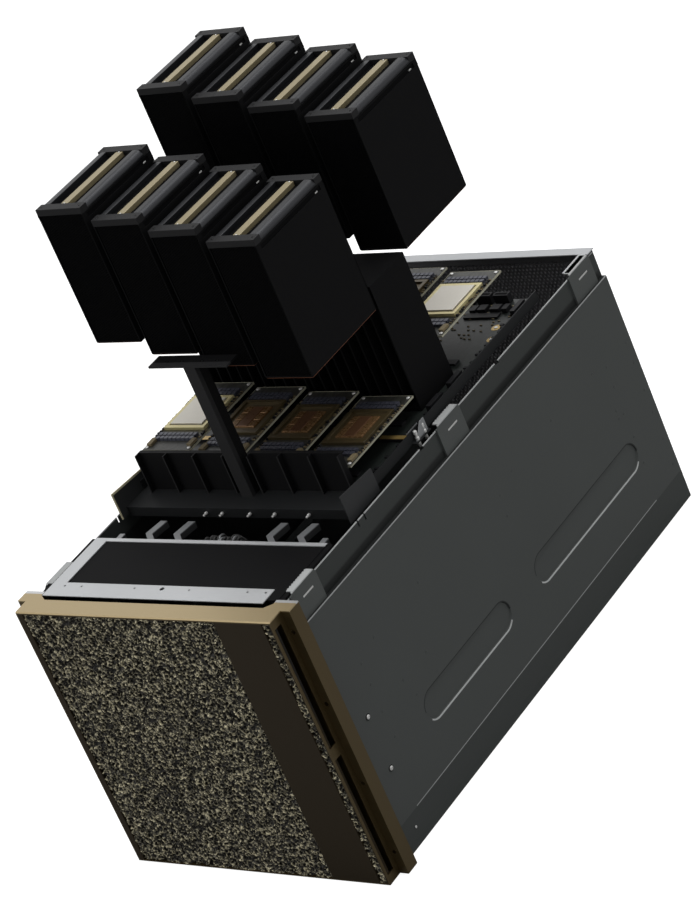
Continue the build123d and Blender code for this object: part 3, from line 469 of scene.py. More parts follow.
class Shape:
    # one piece of several forms, each with its own finish
    def __init__(self, name, body):
        self.piece = newPiece(name, body)
        self.mesh = bmesh.new()
        self.finishes = []

    def skin(self, corners, loops, finish, smooth=False):
        if finish not in self.finishes:
            self.finishes.append(finish)
        made = [self.mesh.verts.new(corner) for corner in corners]
        for loop in loops:
            face = self.mesh.faces.new([made[index] for index in loop])
            face.material_index = self.finishes.index(finish)
            face.smooth = smooth

    def box(self, low, high, finish):
        corners = [(x, y, z) for x in (low[0], high[0]) for y in (low[1], high[1]) for z in (low[2], high[2])]
        self.skin(corners, ((0, 1, 3, 2), (4, 6, 7, 5), (0, 4, 5, 1), (2, 3, 7, 6), (0, 2, 6, 4),
                            (1, 5, 7, 3)), finish)

    def slab(self, x, y, size, bottom, top, finish):
        # a box centred on x and y
        self.box((x - size[0] / 2, y - size[1] / 2, bottom), (x + size[0] / 2, y + size[1] / 2, top), finish)

    def plate(self, low, high, start, end, finish):
        # a box with its corners as (x, z), from one y to another
        self.box((low[0], start, low[1]), (high[0], end, high[1]), finish)

    def prism(self, outline, axis, start, end, finish, smooth=False):
        # the outline runs round the other two axes
        count = len(outline)
        corners = []
        for level in (start, end):
            for first, second in outline:
                spot = [first, second]
                spot.insert(axis, level)
                corners.append(spot)
        sides = [(i, (i + 1) % count, (i + 1) % count + count, i + count) for i in range(count)]
        self.skin(corners, sides, finish, smooth)
        self.skin(corners[:count], [tuple(range(count))], finish)
        self.skin(corners[count:], [tuple(range(count))], finish)

    def lathe(self, centre, axis, profile, finish, sides=20):
        # the profile is (distance along the axis, radius) from end to end
        corners = []
        for along, radius in profile:
            for step in range(sides):
                angle = 2 * math.pi * step / sides
                spot = [radius * math.cos(angle), radius * math.sin(angle)]
                spot.insert(axis, along)
                corners.append([spot[i] + centre[i] for i in range(3)])
        self.skin(corners, tubeLoops(len(profile), sides), finish, sides > 8)

    def tube(self, points, radius, finish, sides=8):
        # a round bar or cable through the points
        spots = [Vector(point) for point in points]
        corners = []
        side = None
        for index, spot in enumerate(spots):
            ahead = (spots[min(index + 1, len(spots) - 1)] - spots[max(index - 1, 0)]).normalized()
            guide = side or (Vector((0, 0, 1)) if abs(ahead.z) < 0.9 else Vector((1, 0, 0)))
            side = (guide - ahead * guide.dot(ahead)).normalized()
            other = ahead.cross(side)
            corners += [spot + (side * math.cos(a) + other * math.sin(a)) * radius
                        for a in (2 * math.pi * i / sides for i in range(sides))]
        self.skin(corners, tubeLoops(len(spots), sides), finish, True)

    def close(self, bevel=0.0003, replaces=(), join=True):
        if join:
            bmesh.ops.remove_doubles(self.mesh, verts=self.mesh.verts, dist=1e-7)
        bmesh.ops.recalc_face_normals(self.mesh, faces=self.mesh.faces)
        for edge in self.mesh.edges:
            edge.smooth = edge.calc_face_angle(0.0) < 0.6
        self.mesh.to_mesh(self.piece.data)
        self.mesh.free()
        for finish in self.finishes:
            self.piece.data.materials.append(finishes[finish].material)
        if bevel:
            eased = self.piece.modifiers.new("eased", "BEVEL")
            eased.width = bevel
            eased.segments = 2
            eased.limit_method = "ANGLE"
            settle(self.piece)
        done(self.piece, replaces)


def done(piece, replaces=()):
    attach(piece, piece["body"])
    del piece["body"]
    if replaces:
        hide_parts(*replaces)


# Rows of blocks: fins, coils, capacitors, pins
blocks = Tree("rowsOfBlocks", {
    "Columns": 2, "Rows": 1, "Start": (0.0, 0.0, 0.0), "Across": (0.01, 0.0, 0.0), "Along": (0.0, 0.01, 0.0),
    "Size": (0.005, 0.005, 0.005), "Jitter": (0.0, 0.0, 0.0), "Share": 1.0, "Seed": 3})
line, column, rank = blocks.grid()
shake = blocks.node("FunctionNodeRandomValue", {"data_type": "FLOAT_VECTOR"},
                    {0: (-1.0, -1.0, -1.0), 1: (1.0, 1.0, 1.0), "Seed": blocks.input("Seed")})
shake = blocks.node("ShaderNodeVectorMath", {"operation": "MULTIPLY"}, {0: shake, 1: blocks.input("Jitter")})
spread = blocks.plus(blocks.plus(blocks.input("Start"), blocks.scaled(blocks.input("Across"), column)),
                     blocks.plus(blocks.scaled(blocks.input("Along"), rank), shake))
line = blocks.node("GeometryNodeSetPosition", {}, {"Geometry": line, "Position": spread})
kept = blocks.node("FunctionNodeRandomValue", {"data_type": "BOOLEAN"},
                   {6: blocks.input("Share"), "Seed": blocks.input("Seed") + 7}, 3)
cube = blocks.node("GeometryNodeMeshCube", {}, {"Size": blocks.input("Size")})
blocks.close(blocks.node("GeometryNodeInstanceOnPoints", {},
                         {"Points": line, "Selection": kept, "Instance": cube}))


def rows(name, body, finish, start, size, columns, count=1, across=0.01, along=0.01, **values):
    # blocks in columns along X and rows along Y
    piece = newPiece(name, body)
    blocks.apply(piece, finish, {"Start": start, "Size": size, "Columns": columns, "Rows": count,
                                 "Across": (across, 0.0, 0.0), "Along": (0.0, along, 0.0), **values})
    done(piece)


# Sheets with a honeycomb of six-sided holes, facing the front; its rows lie hexRow pitches apart
hexRow = 0.8660254
comb = Tree("honeycombSheet", {"Columns": 4, "Rows": 4, "Start": (0.0, 0.0, 0.0), "Pitch": 0.006,
                               "Bar": 0.0008, "Sheet": 0.001})
line, column, rank = comb.grid()
odd = rank.maths("MODULO", rank, 2.0)
offset = comb.node("ShaderNodeCombineXYZ", {}, {0: (column + odd * 0.5) * comb.input("Pitch"), 1: 0.0,
                                                2: rank * comb.input("Pitch") * hexRow})
line = comb.node("GeometryNodeSetPosition", {},
                 {"Geometry": line, "Position": comb.plus(comb.input("Start"), offset)})
ring = comb.node("GeometryNodeCurvePrimitiveCircle", {},
                 {"Resolution": 6, "Radius": (comb.input("Pitch") - comb.input("Bar") * 0.9) / (2 * hexRow)})
profile = comb.node("GeometryNodeCurvePrimitiveQuadrilateral", {},
                    {"Width": comb.input("Bar") * 1.15, "Height": comb.input("Sheet")})
cell = comb.node("GeometryNodeCurveToMesh", {}, {0: ring, 1: profile})
comb.close(comb.node("GeometryNodeInstanceOnPoints", {},
                     {"Points": line, "Instance": cell, "Rotation": (math.pi / 2, 0.0, 0.0)}))

# Metal foam: a grid pressed inwards between the walls of its cells
foam = Tree("openFoam", {"Width": 0.1, "Height": 0.1, "Columns": 10, "Rows": 10, "Middle": (0.0, 0.0, 0.0),
                         "Depth": 0.005, "Cell": 0.0064})
sheet = foam.node("GeometryNodeMeshGrid", {}, {0: foam.input("Width"), 1: foam.input("Height"),
                                               2: foam.input("Columns"), 3: foam.input("Rows")})
sheet = foam.node("GeometryNodeTransform", {}, {"Geometry": sheet, "Rotation": (math.pi / 2, 0.0, 0.0),
                                                "Translation": foam.input("Middle")})
where = foam.node("GeometryNodeInputPosition")
wander = foam.node("ShaderNodeTexNoise", {}, {"Vector": where, "Scale": 210.0, "Detail": 2.0}, 1)
wall = foam.node("ShaderNodeTexVoronoi", {"feature": "DISTANCE_TO_EDGE"},
                 {"Vector": foam.plus(where, foam.scaled(wander, 0.004)), "Scale": 1.0 / foam.input("Cell")})
lump = foam.node("ShaderNodeTexNoise", {}, {"Vector": where, "Scale": 130.0, "Detail": 2.0})
press = foam.node("ShaderNodeMapRange", {"interpolation_type": "SMOOTHSTEP"},
                  {"Value": wall + lump * 0.34, 1: 0.13, 2: 0.42, 3: 0.0, 4: 1.0})
inwards = foam.node("ShaderNodeCombineXYZ", {}, {0: 0.0, 1: press * foam.input("Depth"), 2: 0.0})
foam.close(foam.node("GeometryNodeSetPosition", {}, {"Geometry": sheet, "Offset": inwards}))

# Metal foam faces of the bezel, left and right of the band
bandLow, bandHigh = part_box("bezel_band")
foamShape = {"step": 0.0016, "depth": 0.0052, "border": 0.009, "lip": 0.0014, "backing": 0.006}
foamFinish = Finish("openMetalFoam", roughness=0.42, metallic=0.35, level=0.45)
finishes["foam"] = foamFinish
# painted light: the front ridges of the foam carry painted glints, and the pressed-in pits are painted dark
# as shade
inside = limit((foamFinish.y - foamLow.y) * (1.0 / foamShape["depth"]), 0.0, 1.0)
fleck = foamFinish.noise(310.0, 2.0, 0.6)
glint = foamFinish.node("ShaderNodeMapRange", {}, {"Value": fleck, 1: 0.46, 2: 0.58, 3: 0.1, 4: 1.0})
paintedRidgeLight = limit(1.0 - inside * 1.7, 0.0, 1.0)
foamFinish.set("Base Color", foamFinish.mix(paintedRidgeLight * glint, tone(21, 19, 16), tone(236, 226, 190)))
foamFinish.set("Roughness", fleck * 0.3 + 0.28)
for name, low, high in (("foamLeft", foamLow.x + foamShape["border"], bandLow.x),
                        ("foamRight", bandHigh.x, foamHigh.x - foamShape["lip"])):
    piece = newPiece(name, "bezel")
    wide, tall = high - low, foamHigh.z - foamLow.z
    foam.apply(piece, "foam", {
        "Width": wide, "Height": tall, "Columns": int(wide / foamShape["step"]) + 2,
        "Rows": int(tall / foamShape["step"]) + 2, "Depth": foamShape["depth"],
        "Middle": ((low + high) / 2, foamLow.y + 0.0001, (foamLow.z + foamHigh.z) / 2)})
    done(piece, ("bezel_foam_panel",) if name == "foamLeft" else ())
shape = Shape("foamBacking", "bezel")
for low, high in ((foamLow.x, bandLow.x), (bandHigh.x, foamHigh.x)):
    shape.plate((low, foamLow.z), (high, foamHigh.z), foamLow.y + foamShape["backing"], foamHigh.y,
                "metal_foam")
for low, high in ((foamLow.x, foamLow.x + foamShape["border"]), (foamHigh.x - foamShape["lip"], foamHigh.x)):
    shape.plate((low, foamLow.z), (high, foamHigh.z), foamLow.y, foamHigh.y, "band_metal")
shape.close(0.0004)
print("foam")

# Tall heatsinks: thin walls and fins, an open cap with two rounded bars and a plain strip
sink = {"rim": 0.015, "bar": 0.016, "shoulder": 0.009, "recess": 0.008, "strip": 0.012, "stripDrop": 0.001,
        "cap": 0.01, "wall": 0.002, "base": 0.0034, "fins": 30, "fin": 0.0007, "notchDrop": 0.013,
        "notch": 0.007, "notchInset": 0.009, "notchDepth": 0.0012, "shoe": 0.0012, "shoeInset": 0.001,
        "screw": (0.006, 0.007), "pin": 0.0016}
places = [(row, k) for row in ("front", "rear") for k in range(1, 5)]
for row, k in places:
    node = f"{row}_heatsink_{k}"
    low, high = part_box(node)
    mid, top = (low.x + high.x) / 2, high.z
    capLow, shoe, base = top - sink["cap"], low.z + sink["shoe"], low.z + sink["base"]
    front, back = low.y + sink["rim"], high.y - sink["rim"]
    notchTop = top - sink["notchDrop"]
    notchLow = notchTop - sink["notch"]
    notchFront, notchBack = low.y + sink["notchInset"], high.y - sink["notchInset"]
    inset = sink["shoeInset"]
    shape = Shape(f"{row}Sink{k}", node)
    shape.box((low.x, low.y, shoe), (high.x, high.y, base), "black_aluminium")
    shape.box((low.x + inset, low.y + inset, low.z), (high.x - inset, high.y - inset, shoe), "copper")
    for side, x in ((1, low.x), (-1, high.x)):
        inner = x + side * sink["wall"]
        step = x + side * sink["notchDepth"]
        bar = x + side * sink["bar"]
        shape.box((x, low.y, base), (inner, high.y, notchLow), "black_aluminium")
        shape.box((x, low.y, notchLow), (inner, notchFront, capLow), "black_aluminium")
        shape.box((x, notchBack, notchLow), (inner, high.y, capLow), "black_aluminium")
        # the notch's floor is painted near-black as shade
        shape.box((step, notchFront, notchLow), (inner, notchBack, notchTop), "shadeFill")
        shape.box((x, notchFront, notchTop), (inner, notchBack, capLow), "black_aluminium")
        shape.box((x + side * 0.0004, high.y - 0.022, notchLow + 0.001),
                  (step, high.y - 0.016, notchLow + 0.003), "white")
        curve = [(x + side * sink["shoulder"] * (1 - math.cos(a)), top - sink["shoulder"] * (1 - math.sin(a)))
                 for a in (math.pi / 2 * i / 8 for i in range(9))]
        shape.prism([(x, capLow)] + curve + [(bar, top), (bar, capLow)], 1, front, back, "sinkBar", True)
    for start, end in ((low.y, front), (back, high.y)):
        shape.box((low.x, start, capLow), (high.x, end, top), "sinkRim")
    # the recess floor between the bars is painted near-black as shade
    shape.box((low.x + sink["bar"], front, capLow),
              (high.x - sink["bar"], back, top - sink["recess"]), "shadeFill")
    shape.box((mid - sink["strip"] / 2, front, top - sink["recess"]),
              (mid + sink["strip"] / 2, back, top - sink["stripDrop"]), "strip")
    for y in (low.y + sink["screw"][1], high.y - sink["screw"][1]):
        for x in (high.x - sink["screw"][0], low.x + sink["screw"][0]):
            shape.lathe((x, y, top - 0.001), 2, ((0.0, 0.002), (0.0008, 0.002), (0.001, 0.0014)), "steel", 12)
    for y in (front + sink["pin"], back - sink["pin"]):
        shape.lathe((mid, y, top - sink["stripDrop"]), 2, ((0.0, 0.0014), (0.0007, 0.0012)), "steel", 12)
    shape.close(0.0005, replaces=(node,))
    pitch = (high.x - low.x - 2 * sink["wall"]) / (sink["fins"] + 1)
    rows(f"{row}SinkFins{k}", node, "black_aluminium",
         (low.x + sink["wall"] + pitch, (low.y + high.y) / 2, (base + capLow) / 2),
         (sink["fin"], high.y - low.y - 0.002, capLow - base), sink["fins"], across=pitch)
print("heatsinks")

# Accelerator modules: a board with bright edges, its frame and lid, and banks of components
card = {"board": 0.0032, "plug": 0.0047, "plugInset": 0.024, "frame": (0.074, 0.08, 0.005), "wall": 0.006,
        "offset": 0.0048, "well": 0.0022, "lid": (0.058, 0.064), "die": (0.046, 0.05), "edge": 0.0007,
        "stack": (0.011, 0.015), "stackPitch": 0.0165, "core": (0.019, 0.047), "screw": (0.039, 0.078)}
for row, k in places:
    node = f"{row}_module_{k}"
    low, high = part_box(node)
    bright = (row, k) in (("front", 1), ("rear", 4))
    mid, centre = (low.x + high.x) / 2, (low.y + high.y) / 2
    bottom = low.z + card["plug"]
    top = bottom + card["board"]
    heart = centre + card["offset"]
    edge, wall = card["edge"], card["wall"]
    shape = Shape(f"{row}Card{k}", node)
    shape.box((low.x + edge, low.y + edge, bottom), (high.x - edge, high.y - edge, top), "module_board")
    for a, b in (((low.x, low.y), (high.x, low.y + edge)), ((low.x, high.y - edge), (high.x, high.y)),
                 ((low.x, low.y), (low.x + edge, high.y)), ((high.x - edge, low.y), (high.x, high.y))):
        shape.box((*a, bottom + 0.0004), (*b, top + 0.0001), "edge")
    for end in (-1, 1):
        plug = centre + end * ((high.y - low.y) / 2 - card["plugInset"])
        shape.slab(mid, plug, (0.06, 0.012), low.z, bottom, "connector_plastic")
        shape.slab(mid, plug, (0.054, 0.0076), low.z, low.z + 0.0006, "goldBar")
    wide, deep, tall = card["frame"]
    x0, x1, y0, y1 = mid - wide / 2, mid + wide / 2, heart - deep / 2, heart + deep / 2
    for a, b in border((x0, y0), (x1, y1), (x0 + wall, y0 + wall), (x1 - wall, y1 - wall)):
        shape.box((*a, top), (*b, top + tall), "goldFrame" if bright else "darkFrame")
    shape.box((x0 + wall, y0 + wall, top), (x1 - wall, y1 - wall, top + card["well"]),
              "ceramic" if bright else "darkFrame")
    if bright:
        shape.slab(mid, heart, card["lid"], top + 0.002, high.z, "lid")
    else:
        shape.slab(mid, heart, card["die"], top + 0.002, top + 0.0038, "silicon")
        for side in (-1, 1):
            for step in (-1, 0, 1):
                shape.slab(mid + side * card["stackPitch"], heart + step * card["stackPitch"], card["stack"],
                           top + 0.0038, top + 0.0044, "silicon")
        shape.slab(mid, heart, card["core"], top + 0.0038, top + 0.0046, "die")
    for x in (-card["screw"][0], card["screw"][0]):
        for y in (-card["screw"][1], card["screw"][1]):
            shape.lathe((mid + x, centre + y, top), 2, ((0.0, 0.0028), (0.0012, 0.0028), (0.0018, 0.0018)),
                        "steel", 14)
    for x in (-0.0405, 0.0335):
        shape.box((mid + x, centre - 0.075, top), (mid + x + 0.008, centre - 0.059, top + 0.0042), "ceramic")
    shape.close(0.0003, replaces=(node,))
    for end, label in ((-1, "a"), (1, "b")):
        rows(f"{row}Coils{k}{label}", node, "coil",
             (mid - 0.0312, heart + end * 0.0505 - 0.0035, top + 0.0022), (0.0064, 0.0066, 0.0044),
             9, 2, 0.0078, end * 0.0088, Seed=k)
    rows(f"{row}Chips{k}", node, "ceramic", (mid - 0.0405, centre - 0.052, top + 0.0008),
         (0.0042, 0.0022, 0.0016), 2, 26, 0.081, 0.0044, Jitter=(0.0008, 0.0006, 0.0), Share=0.72,
         Seed=k + (row == "rear") * 5)
    rows(f"{row}Dots{k}", node, "connector_plastic", (mid - 0.0402, centre - 0.05, top + 0.0014),
         (0.0034, 0.003, 0.0028), 2, 22, 0.0806, 0.0052, Jitter=(0.0006, 0.0008, 0.0), Share=0.5,
         Seed=k + 20)
print("modules")

# Exhaust sheet with its honeycomb, and the plain rim that holds it to the rear wall
grilleLow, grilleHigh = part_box("rear_grille")
grille = {"pitch": 0.0068, "bar": 0.0011, "rim": 0.005, "depth": 0.0062, "lap": (0.0006, 0.001)}
columns = int((grilleHigh.x - grilleLow.x - 2 * grille["rim"]) / grille["pitch"]) - 1
ranks = int((grilleHigh.z - grilleLow.z - 2 * grille["rim"]) / (grille["pitch"] * hexRow)) - 1
halfWide = (columns - 0.5) * grille["pitch"] / 2
halfTall = (ranks - 1) * grille["pitch"] * hexRow / 2
middle = (grilleLow.z + grilleHigh.z) / 2
piece = newPiece("rearComb", "chassis")
comb.apply(piece, "mesh", {
    "Columns": columns, "Rows": ranks, "Pitch": grille["pitch"], "Bar": grille["bar"],
    "Sheet": grille["depth"], "Start": (-halfWide, grilleHigh.y - grille["depth"] / 2, middle - halfTall)})
done(piece, ("rear_grille",))
shape = Shape("rearCombRim", "chassis")
left, drop = halfWide + grille["lap"][0], halfTall + grille["lap"][1]
for a, b in border((grilleLow.x, grilleLow.z), (grilleHigh.x, grilleHigh.z),
                   (-left, middle - drop), (left, middle + drop)):
    shape.plate(a, b, grilleLow.y, grilleHigh.y, "mesh")
shape.close(0)
print("exhaust sheet,", columns * ranks, "holes")

# Folded lips along the side walls next to the rear flange
flange = {"length": 0.05, "wide": 0.0125, "sheet": 0.0015, "rear": 0.018, "drop": 0.0062}
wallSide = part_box("inner_wall_right")[1].x
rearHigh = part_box("rear_wall")[1]
front = rearHigh.y - flange["rear"] - flange["length"]
under = rearHigh.z - flange["sheet"]
shape = Shape("cornerLips", "chassis")
for side in (-1, 1):
    x = side * wallSide
    shape.box((x - side * flange["wide"], front, under), (x, rearHigh.y - 0.0178, rearHigh.z), "rear")
    shape.box((x - side * 0.0016, front, rearHigh.z - flange["drop"]),
              (x - side * 0.0001, rearHigh.y - 0.019, under), "rear")
shape.close(0.0002)

# Loom: thin sleeved cables that bow up out of the cage and back in
loomLow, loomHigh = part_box("cable_loom")
loom = {"cables": 26, "steps": 12, "radius": 0.0013, "lean": 0.009, "inset": 0.004, "edge": 0.0017}
shape = Shape("cableBows", "chassis")
for index in range(loom["cables"]):
    share = index / (loom["cables"] - 1)
    x = loomLow.x + loom["inset"] + (loomHigh.x - loomLow.x - 2 * loom["inset"]) * share
    lean = loom["lean"] * math.sin(index * 2.4)
    rise = 0.55 + 0.42 * abs(math.sin(index * 1.7 + 0.6))
    start, end = loomLow.y + 0.0015, loomHigh.y - 0.003 - 0.01 * abs(math.cos(index * 1.3))
    points = []
    for step in range(loom["steps"] + 1):
        turn = math.pi * step / loom["steps"]
        swing = max(x + lean * math.sin(turn), loomLow.x + loom["edge"])
        points.append((min(swing, loomHigh.x - loom["edge"]),
                       start + (end - start) * (1 - math.cos(turn)) / 2,
                       loomLow.z + 0.002 + (loomHigh.z - loomLow.z - 0.004) * rise * math.sin(turn)))
    shape.tube(points, loom["radius"], "cable" if index % 3 else "handle", 6)
shape.close(0, replaces=("cable_loom",), join=False)
print("loom")


def stud(side, y, z, radius, profile, finish, sides):
    # a turned head on a skin, with its profile in radii
    turns = [(side * t * radius, radius * r) for t, r in profile]
    shape.lathe((side * skinHigh.x, y, z), 0, turns, finish, sides)


# Screws on the skins, posts and pins on the tray
screwLow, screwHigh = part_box("side_screws")
heads = ((screwHigh.z - 0.006, 0.006, screwLow.y + 0.006), (0.126, 0.006, screwLow.y + 0.006),
         (0.0265, 0.0036, screwLow.y + 0.003))
# each head as a skin-coloured rim, a near-black ring painted as the countersink's shade, and a steel dome
turned = {"skin": ((0.0, 1.0), (0.07, 0.96)), "shadeFill": ((0.0, 0.84), (0.09, 0.8)),
          "steel": ((0.0, 0.6), (0.2, 0.56), (0.31, 0.4), (0.34, 0.24), (0.18, 0.2))}
shape = Shape("skinScrews", "chassis")
for side in (-1, 1):
    for z, radius, y in heads:
        for finish, profile in turned.items():
            stud(side, y, z, radius, profile, finish, 20)
shape.close(0, replaces=("side_screws",))

post = {"low": ((0.0, 0.0016), (0.002, 0.0024), (0.009, 0.0024)), "raise": 0.011, "inset": 0.0032,
        "high": ((0.0, 0.0031), (0.004, 0.0031), (0.0045, 0.0021), (0.0085, 0.0021), (0.009, 0.0028),
                 (0.0135, 0.0028), (0.015, 0.0016)), "places": (0.165, 0.1835), "pinDrop": 0.0215,
        "pin": ((0.0, 0.0024), (-0.003, 0.0024), (-0.0034, 0.0017), (-0.0072, 0.0017), (-0.008, 0.001)),
        "pins": (-0.058, -0.029, 0.021, 0.065, 0.125)}
postLow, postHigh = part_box("tray_screws")
trayLow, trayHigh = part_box("tray_pan")
shape = Shape("trayPosts", "gpu_tray")
for side in (-1, 1):
    x = side * (postHigh.x - post["inset"])
    for y in [trayLow.y + place for place in post["places"]]:
        shape.lathe((x, y, postLow.z), 2, post["low"], "steel", 14)
        shape.lathe((x, y, postLow.z + post["raise"]), 2, post["high"], "steel", 14)
for x in post["pins"]:
    shape.lathe((x, trayLow.y, trayHigh.z - post["pinDrop"]), 1, post["pin"], "steel", 14)
shape.close(0, replaces=("tray_screws",))
print("screws")

# Bright steel tongues behind the slots of the cover tabs, standing in for the light seen through the slots,
# and serrations on their lips
tabLow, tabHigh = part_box("cover_tabs")
tabs = {"slot": 0.0248, "drop": 0.0195, "height": 0.003, "before": 0.034, "after": 0.027, "teeth": 0.0052}
first, last = tabLow.y + tabs["before"], tabHigh.y - tabs["after"]
z = tabHigh.z - tabs["drop"]
shape = Shape("slotLightTongues", "chassis")
for side in (-1, 1):
    for middle in (first, (first + last) / 2, last):
        shape.box((side * (tabHigh.x - 0.0004), middle - tabs["slot"] / 2, z - tabs["height"] / 2),
                  (side * (tabHigh.x - 0.0014), middle + tabs["slot"] / 2, z + tabs["height"] / 2), "steel")
        for step in range(-4, 5):
            y = middle + step * tabs["teeth"]
            shape.box((side * (tabHigh.x - 0.0108), y - 0.0012, tabHigh.z - 0.0012),
                      (side * (tabHigh.x - 0.0128), y + 0.0012, tabHigh.z), "tab")
shape.close(0.0002)

# Small rivets and dimples over the skins, each as (distance from the front or rear of the skin, height)
rivets = {"radius": 0.0026, "profile": ((0.0, 1.0), (0.1, 0.94), (0.2, 0.62), (0.22, 0.34), (0.08, 0.3)),
          "front": ((0.235, 0.294), (0.116, 0.292), (0.075, 0.279), (0.075, 0.2445), (0.134, 0.206),
                    (0.195, 0.2065), (0.146, 0.172), (0.074, 0.1995), (0.076, 0.155), (0.497, 0.294),
                    (0.455, 0.282), (0.452, 0.248), (0.615, 0.2975)),
          "rear": ((0.0125, 0.283), (0.075, 0.2825), (0.112, 0.295), (0.075, 0.2475), (0.0125, 0.248),
                   (0.0125, 0.2), (0.091, 0.216), (0.077, 0.202), (0.091, 0.2025), (0.0125, 0.16),
                   (0.075, 0.159), (0.0125, 0.113), (0.075, 0.113), (0.0125, 0.0665))}
shape = Shape("skinRivets", "chassis")
for side in (-1, 1):
    spots = [(skinLow.y + a, z) for a, z in rivets["front"]]
    for y, z in spots + [(skinHigh.y - a, z) for a, z in rivets["rear"]]:
        stud(side, y, z, rivets["radius"], rivets["profile"], "skin", 14)
shape.close(0)
print("rivets and tongues")

# Fan rotors: a domed hub with twisted blades, one shape for each fan
fan = {"hub": 0.023, "blades": 7, "root": 0.0215, "sheet": 0.0016, "steps": 6, "pitch": (52.0, 30.0),
       "chord": (0.021, 0.031), "sweep": 0.3, "camber": 0.1, "tipGap": 0.0004}
for index in range(1, 7):
    node = f"fan_rotor_{index}"
    low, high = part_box(node)
    centre = (low + high) / 2
    tip = (high.x - low.x) / 2 - fan["tipGap"]
    shape = Shape(f"fanBlades{index}", node)
    shape.lathe((centre.x, low.y, centre.z), 1,
                ((0.0, 0.012), (0.0006, 0.017), (0.003, 0.0215), (0.007, fan["hub"]),
                 (high.y - low.y, fan["hub"])), "fan_plastic", 32)
    shape.lathe((centre.x, low.y, centre.z), 1, ((0.0, 0.0105), (0.0003, 0.0105)), "sinkRim", 24)
    for blade in range(fan["blades"]):
        corners = []
        for step in range(fan["steps"] + 1):
            share = step / fan["steps"]
            radius = fan["root"] + (tip - fan["root"]) * share
            lean = math.radians(fan["pitch"][0] + (fan["pitch"][1] - fan["pitch"][0]) * share)
            chord = fan["chord"][0] + (fan["chord"][1] - fan["chord"][0]) * share
            turn = 2 * math.pi * blade / fan["blades"] + fan["sweep"] * share * share
            # out along one face of the blade and back along the other
            for face, t in [(face, face * (0.5 - part / 4)) for face in (-1, 1) for part in range(5)]:
                camber = fan["camber"] * chord * (1 - 4 * t * t)
                swing = turn + (t * chord * math.cos(lean) + camber * math.sin(lean)) / radius
                depth = (t * chord * math.sin(lean) - camber * math.cos(lean)
                         + face * fan["sheet"] / 2 * (1 - 1.6 * t * t))
                corners.append((centre.x + radius * math.cos(swing), centre.y + depth,
                                centre.z + radius * math.sin(swing)))
        shape.skin(corners, tubeLoops(fan["steps"] + 1, 10), "fan_plastic", True)
    shape.close(0, replaces=(node,), join=False)
print("fans")

# Power supplies: folded case, honeycomb vent, power inlet, lamp, latch and a round loop handle
case = {"reach": 0.024, "recess": 0.005, "vent": 0.056, "half": 0.033, "pitch": 0.005, "bar": 0.0009,
        "rows": 7, "shift": 0.007, "grip": 0.034, "gripHalf": 0.024, "bend": 0.006, "rod": 0.0028}
for index in range(1, 5):
    node = f"power_supply_{index}"
    low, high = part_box(node)
    face = high.y - case["reach"]
    back = face - case["recess"]
    mid, level = (low.x + high.x) / 2, (low.z + high.z) / 2
    x0, x1 = mid - case["shift"] - case["vent"] / 2, mid - case["shift"] + case["vent"] / 2
    z0, z1 = level - case["half"], level + case["half"]
    shape = Shape(f"supplyCase{index}", node)
    shape.box(low, (high.x, back, high.z), "supply_steel")
    for a, b in border((low.x, low.z), (high.x, high.z), (x0, z0), (x1, z1)):
        shape.plate(a, b, back, face, "supply_steel")
    # the back of the vent is painted near-black as shade
    shape.plate((x0, z0), (x1, z1), back, face - 0.0042, "shadeFill")
    shape.plate((x0, level - 0.006), (x1, level - 0.003), back, face - 0.0004, "supply_steel")
    shape.plate((x0 + 0.004, z0 + 0.002), (x0 + 0.034, level - 0.009), back, face - 0.0006, "sinkRim")
    # the inlet's opening is painted near-black as shade
    shape.plate((x0 + 0.007, z0 + 0.005), (x0 + 0.031, level - 0.012), face - 0.0012, face - 0.0003, "shadeFill")
    for x in (x0 + 0.012, x0 + 0.019, x0 + 0.026):
        shape.plate((x - 0.001, z0 + 0.0095), (x + 0.001, z0 + 0.0145), face - 0.0008, face, "steel")
    shape.lathe((x1 - 0.009, face - 0.004, level - 0.013), 1,
                ((0.0, 0.0022), (0.003, 0.0022), (0.0036, 0.0012)), "white", 14)
    shape.plate((x1 - 0.016, z0 + 0.003), (x1 - 0.003, z0 + 0.01), face - 0.004, face - 0.0003, "copper")
    grip, bend, foot = mid + case["grip"], case["bend"], level - case["gripHalf"]
    turn = high.y - case["rod"] - bend
    curve = [(grip, face - 0.001, foot), (grip, turn, foot)]
    curve += [(grip, turn + bend * math.sin(a), foot + bend * (1 - math.cos(a)))
              for a in (math.pi / 2 * i / 5 for i in range(1, 6))]
    curve += [(x, y, 2 * level - z) for x, y, z in reversed(curve)]
    shape.tube(curve, case["rod"], "handle", 12)
    shape.close(0.0004, replaces=(node,))
    piece = newPiece(f"supplyVent{index}", node)
    columns = int(case["vent"] / case["pitch"]) - 1
    comb.apply(piece, "supply_steel", {
        "Columns": columns, "Rows": case["rows"], "Pitch": case["pitch"], "Bar": case["bar"], "Sheet": 0.0012,
        "Start": (mid - case["shift"] - (columns - 0.5) * case["pitch"] / 2, face - 0.0022, level + 0.0035)})
    done(piece)
print("power supplies")

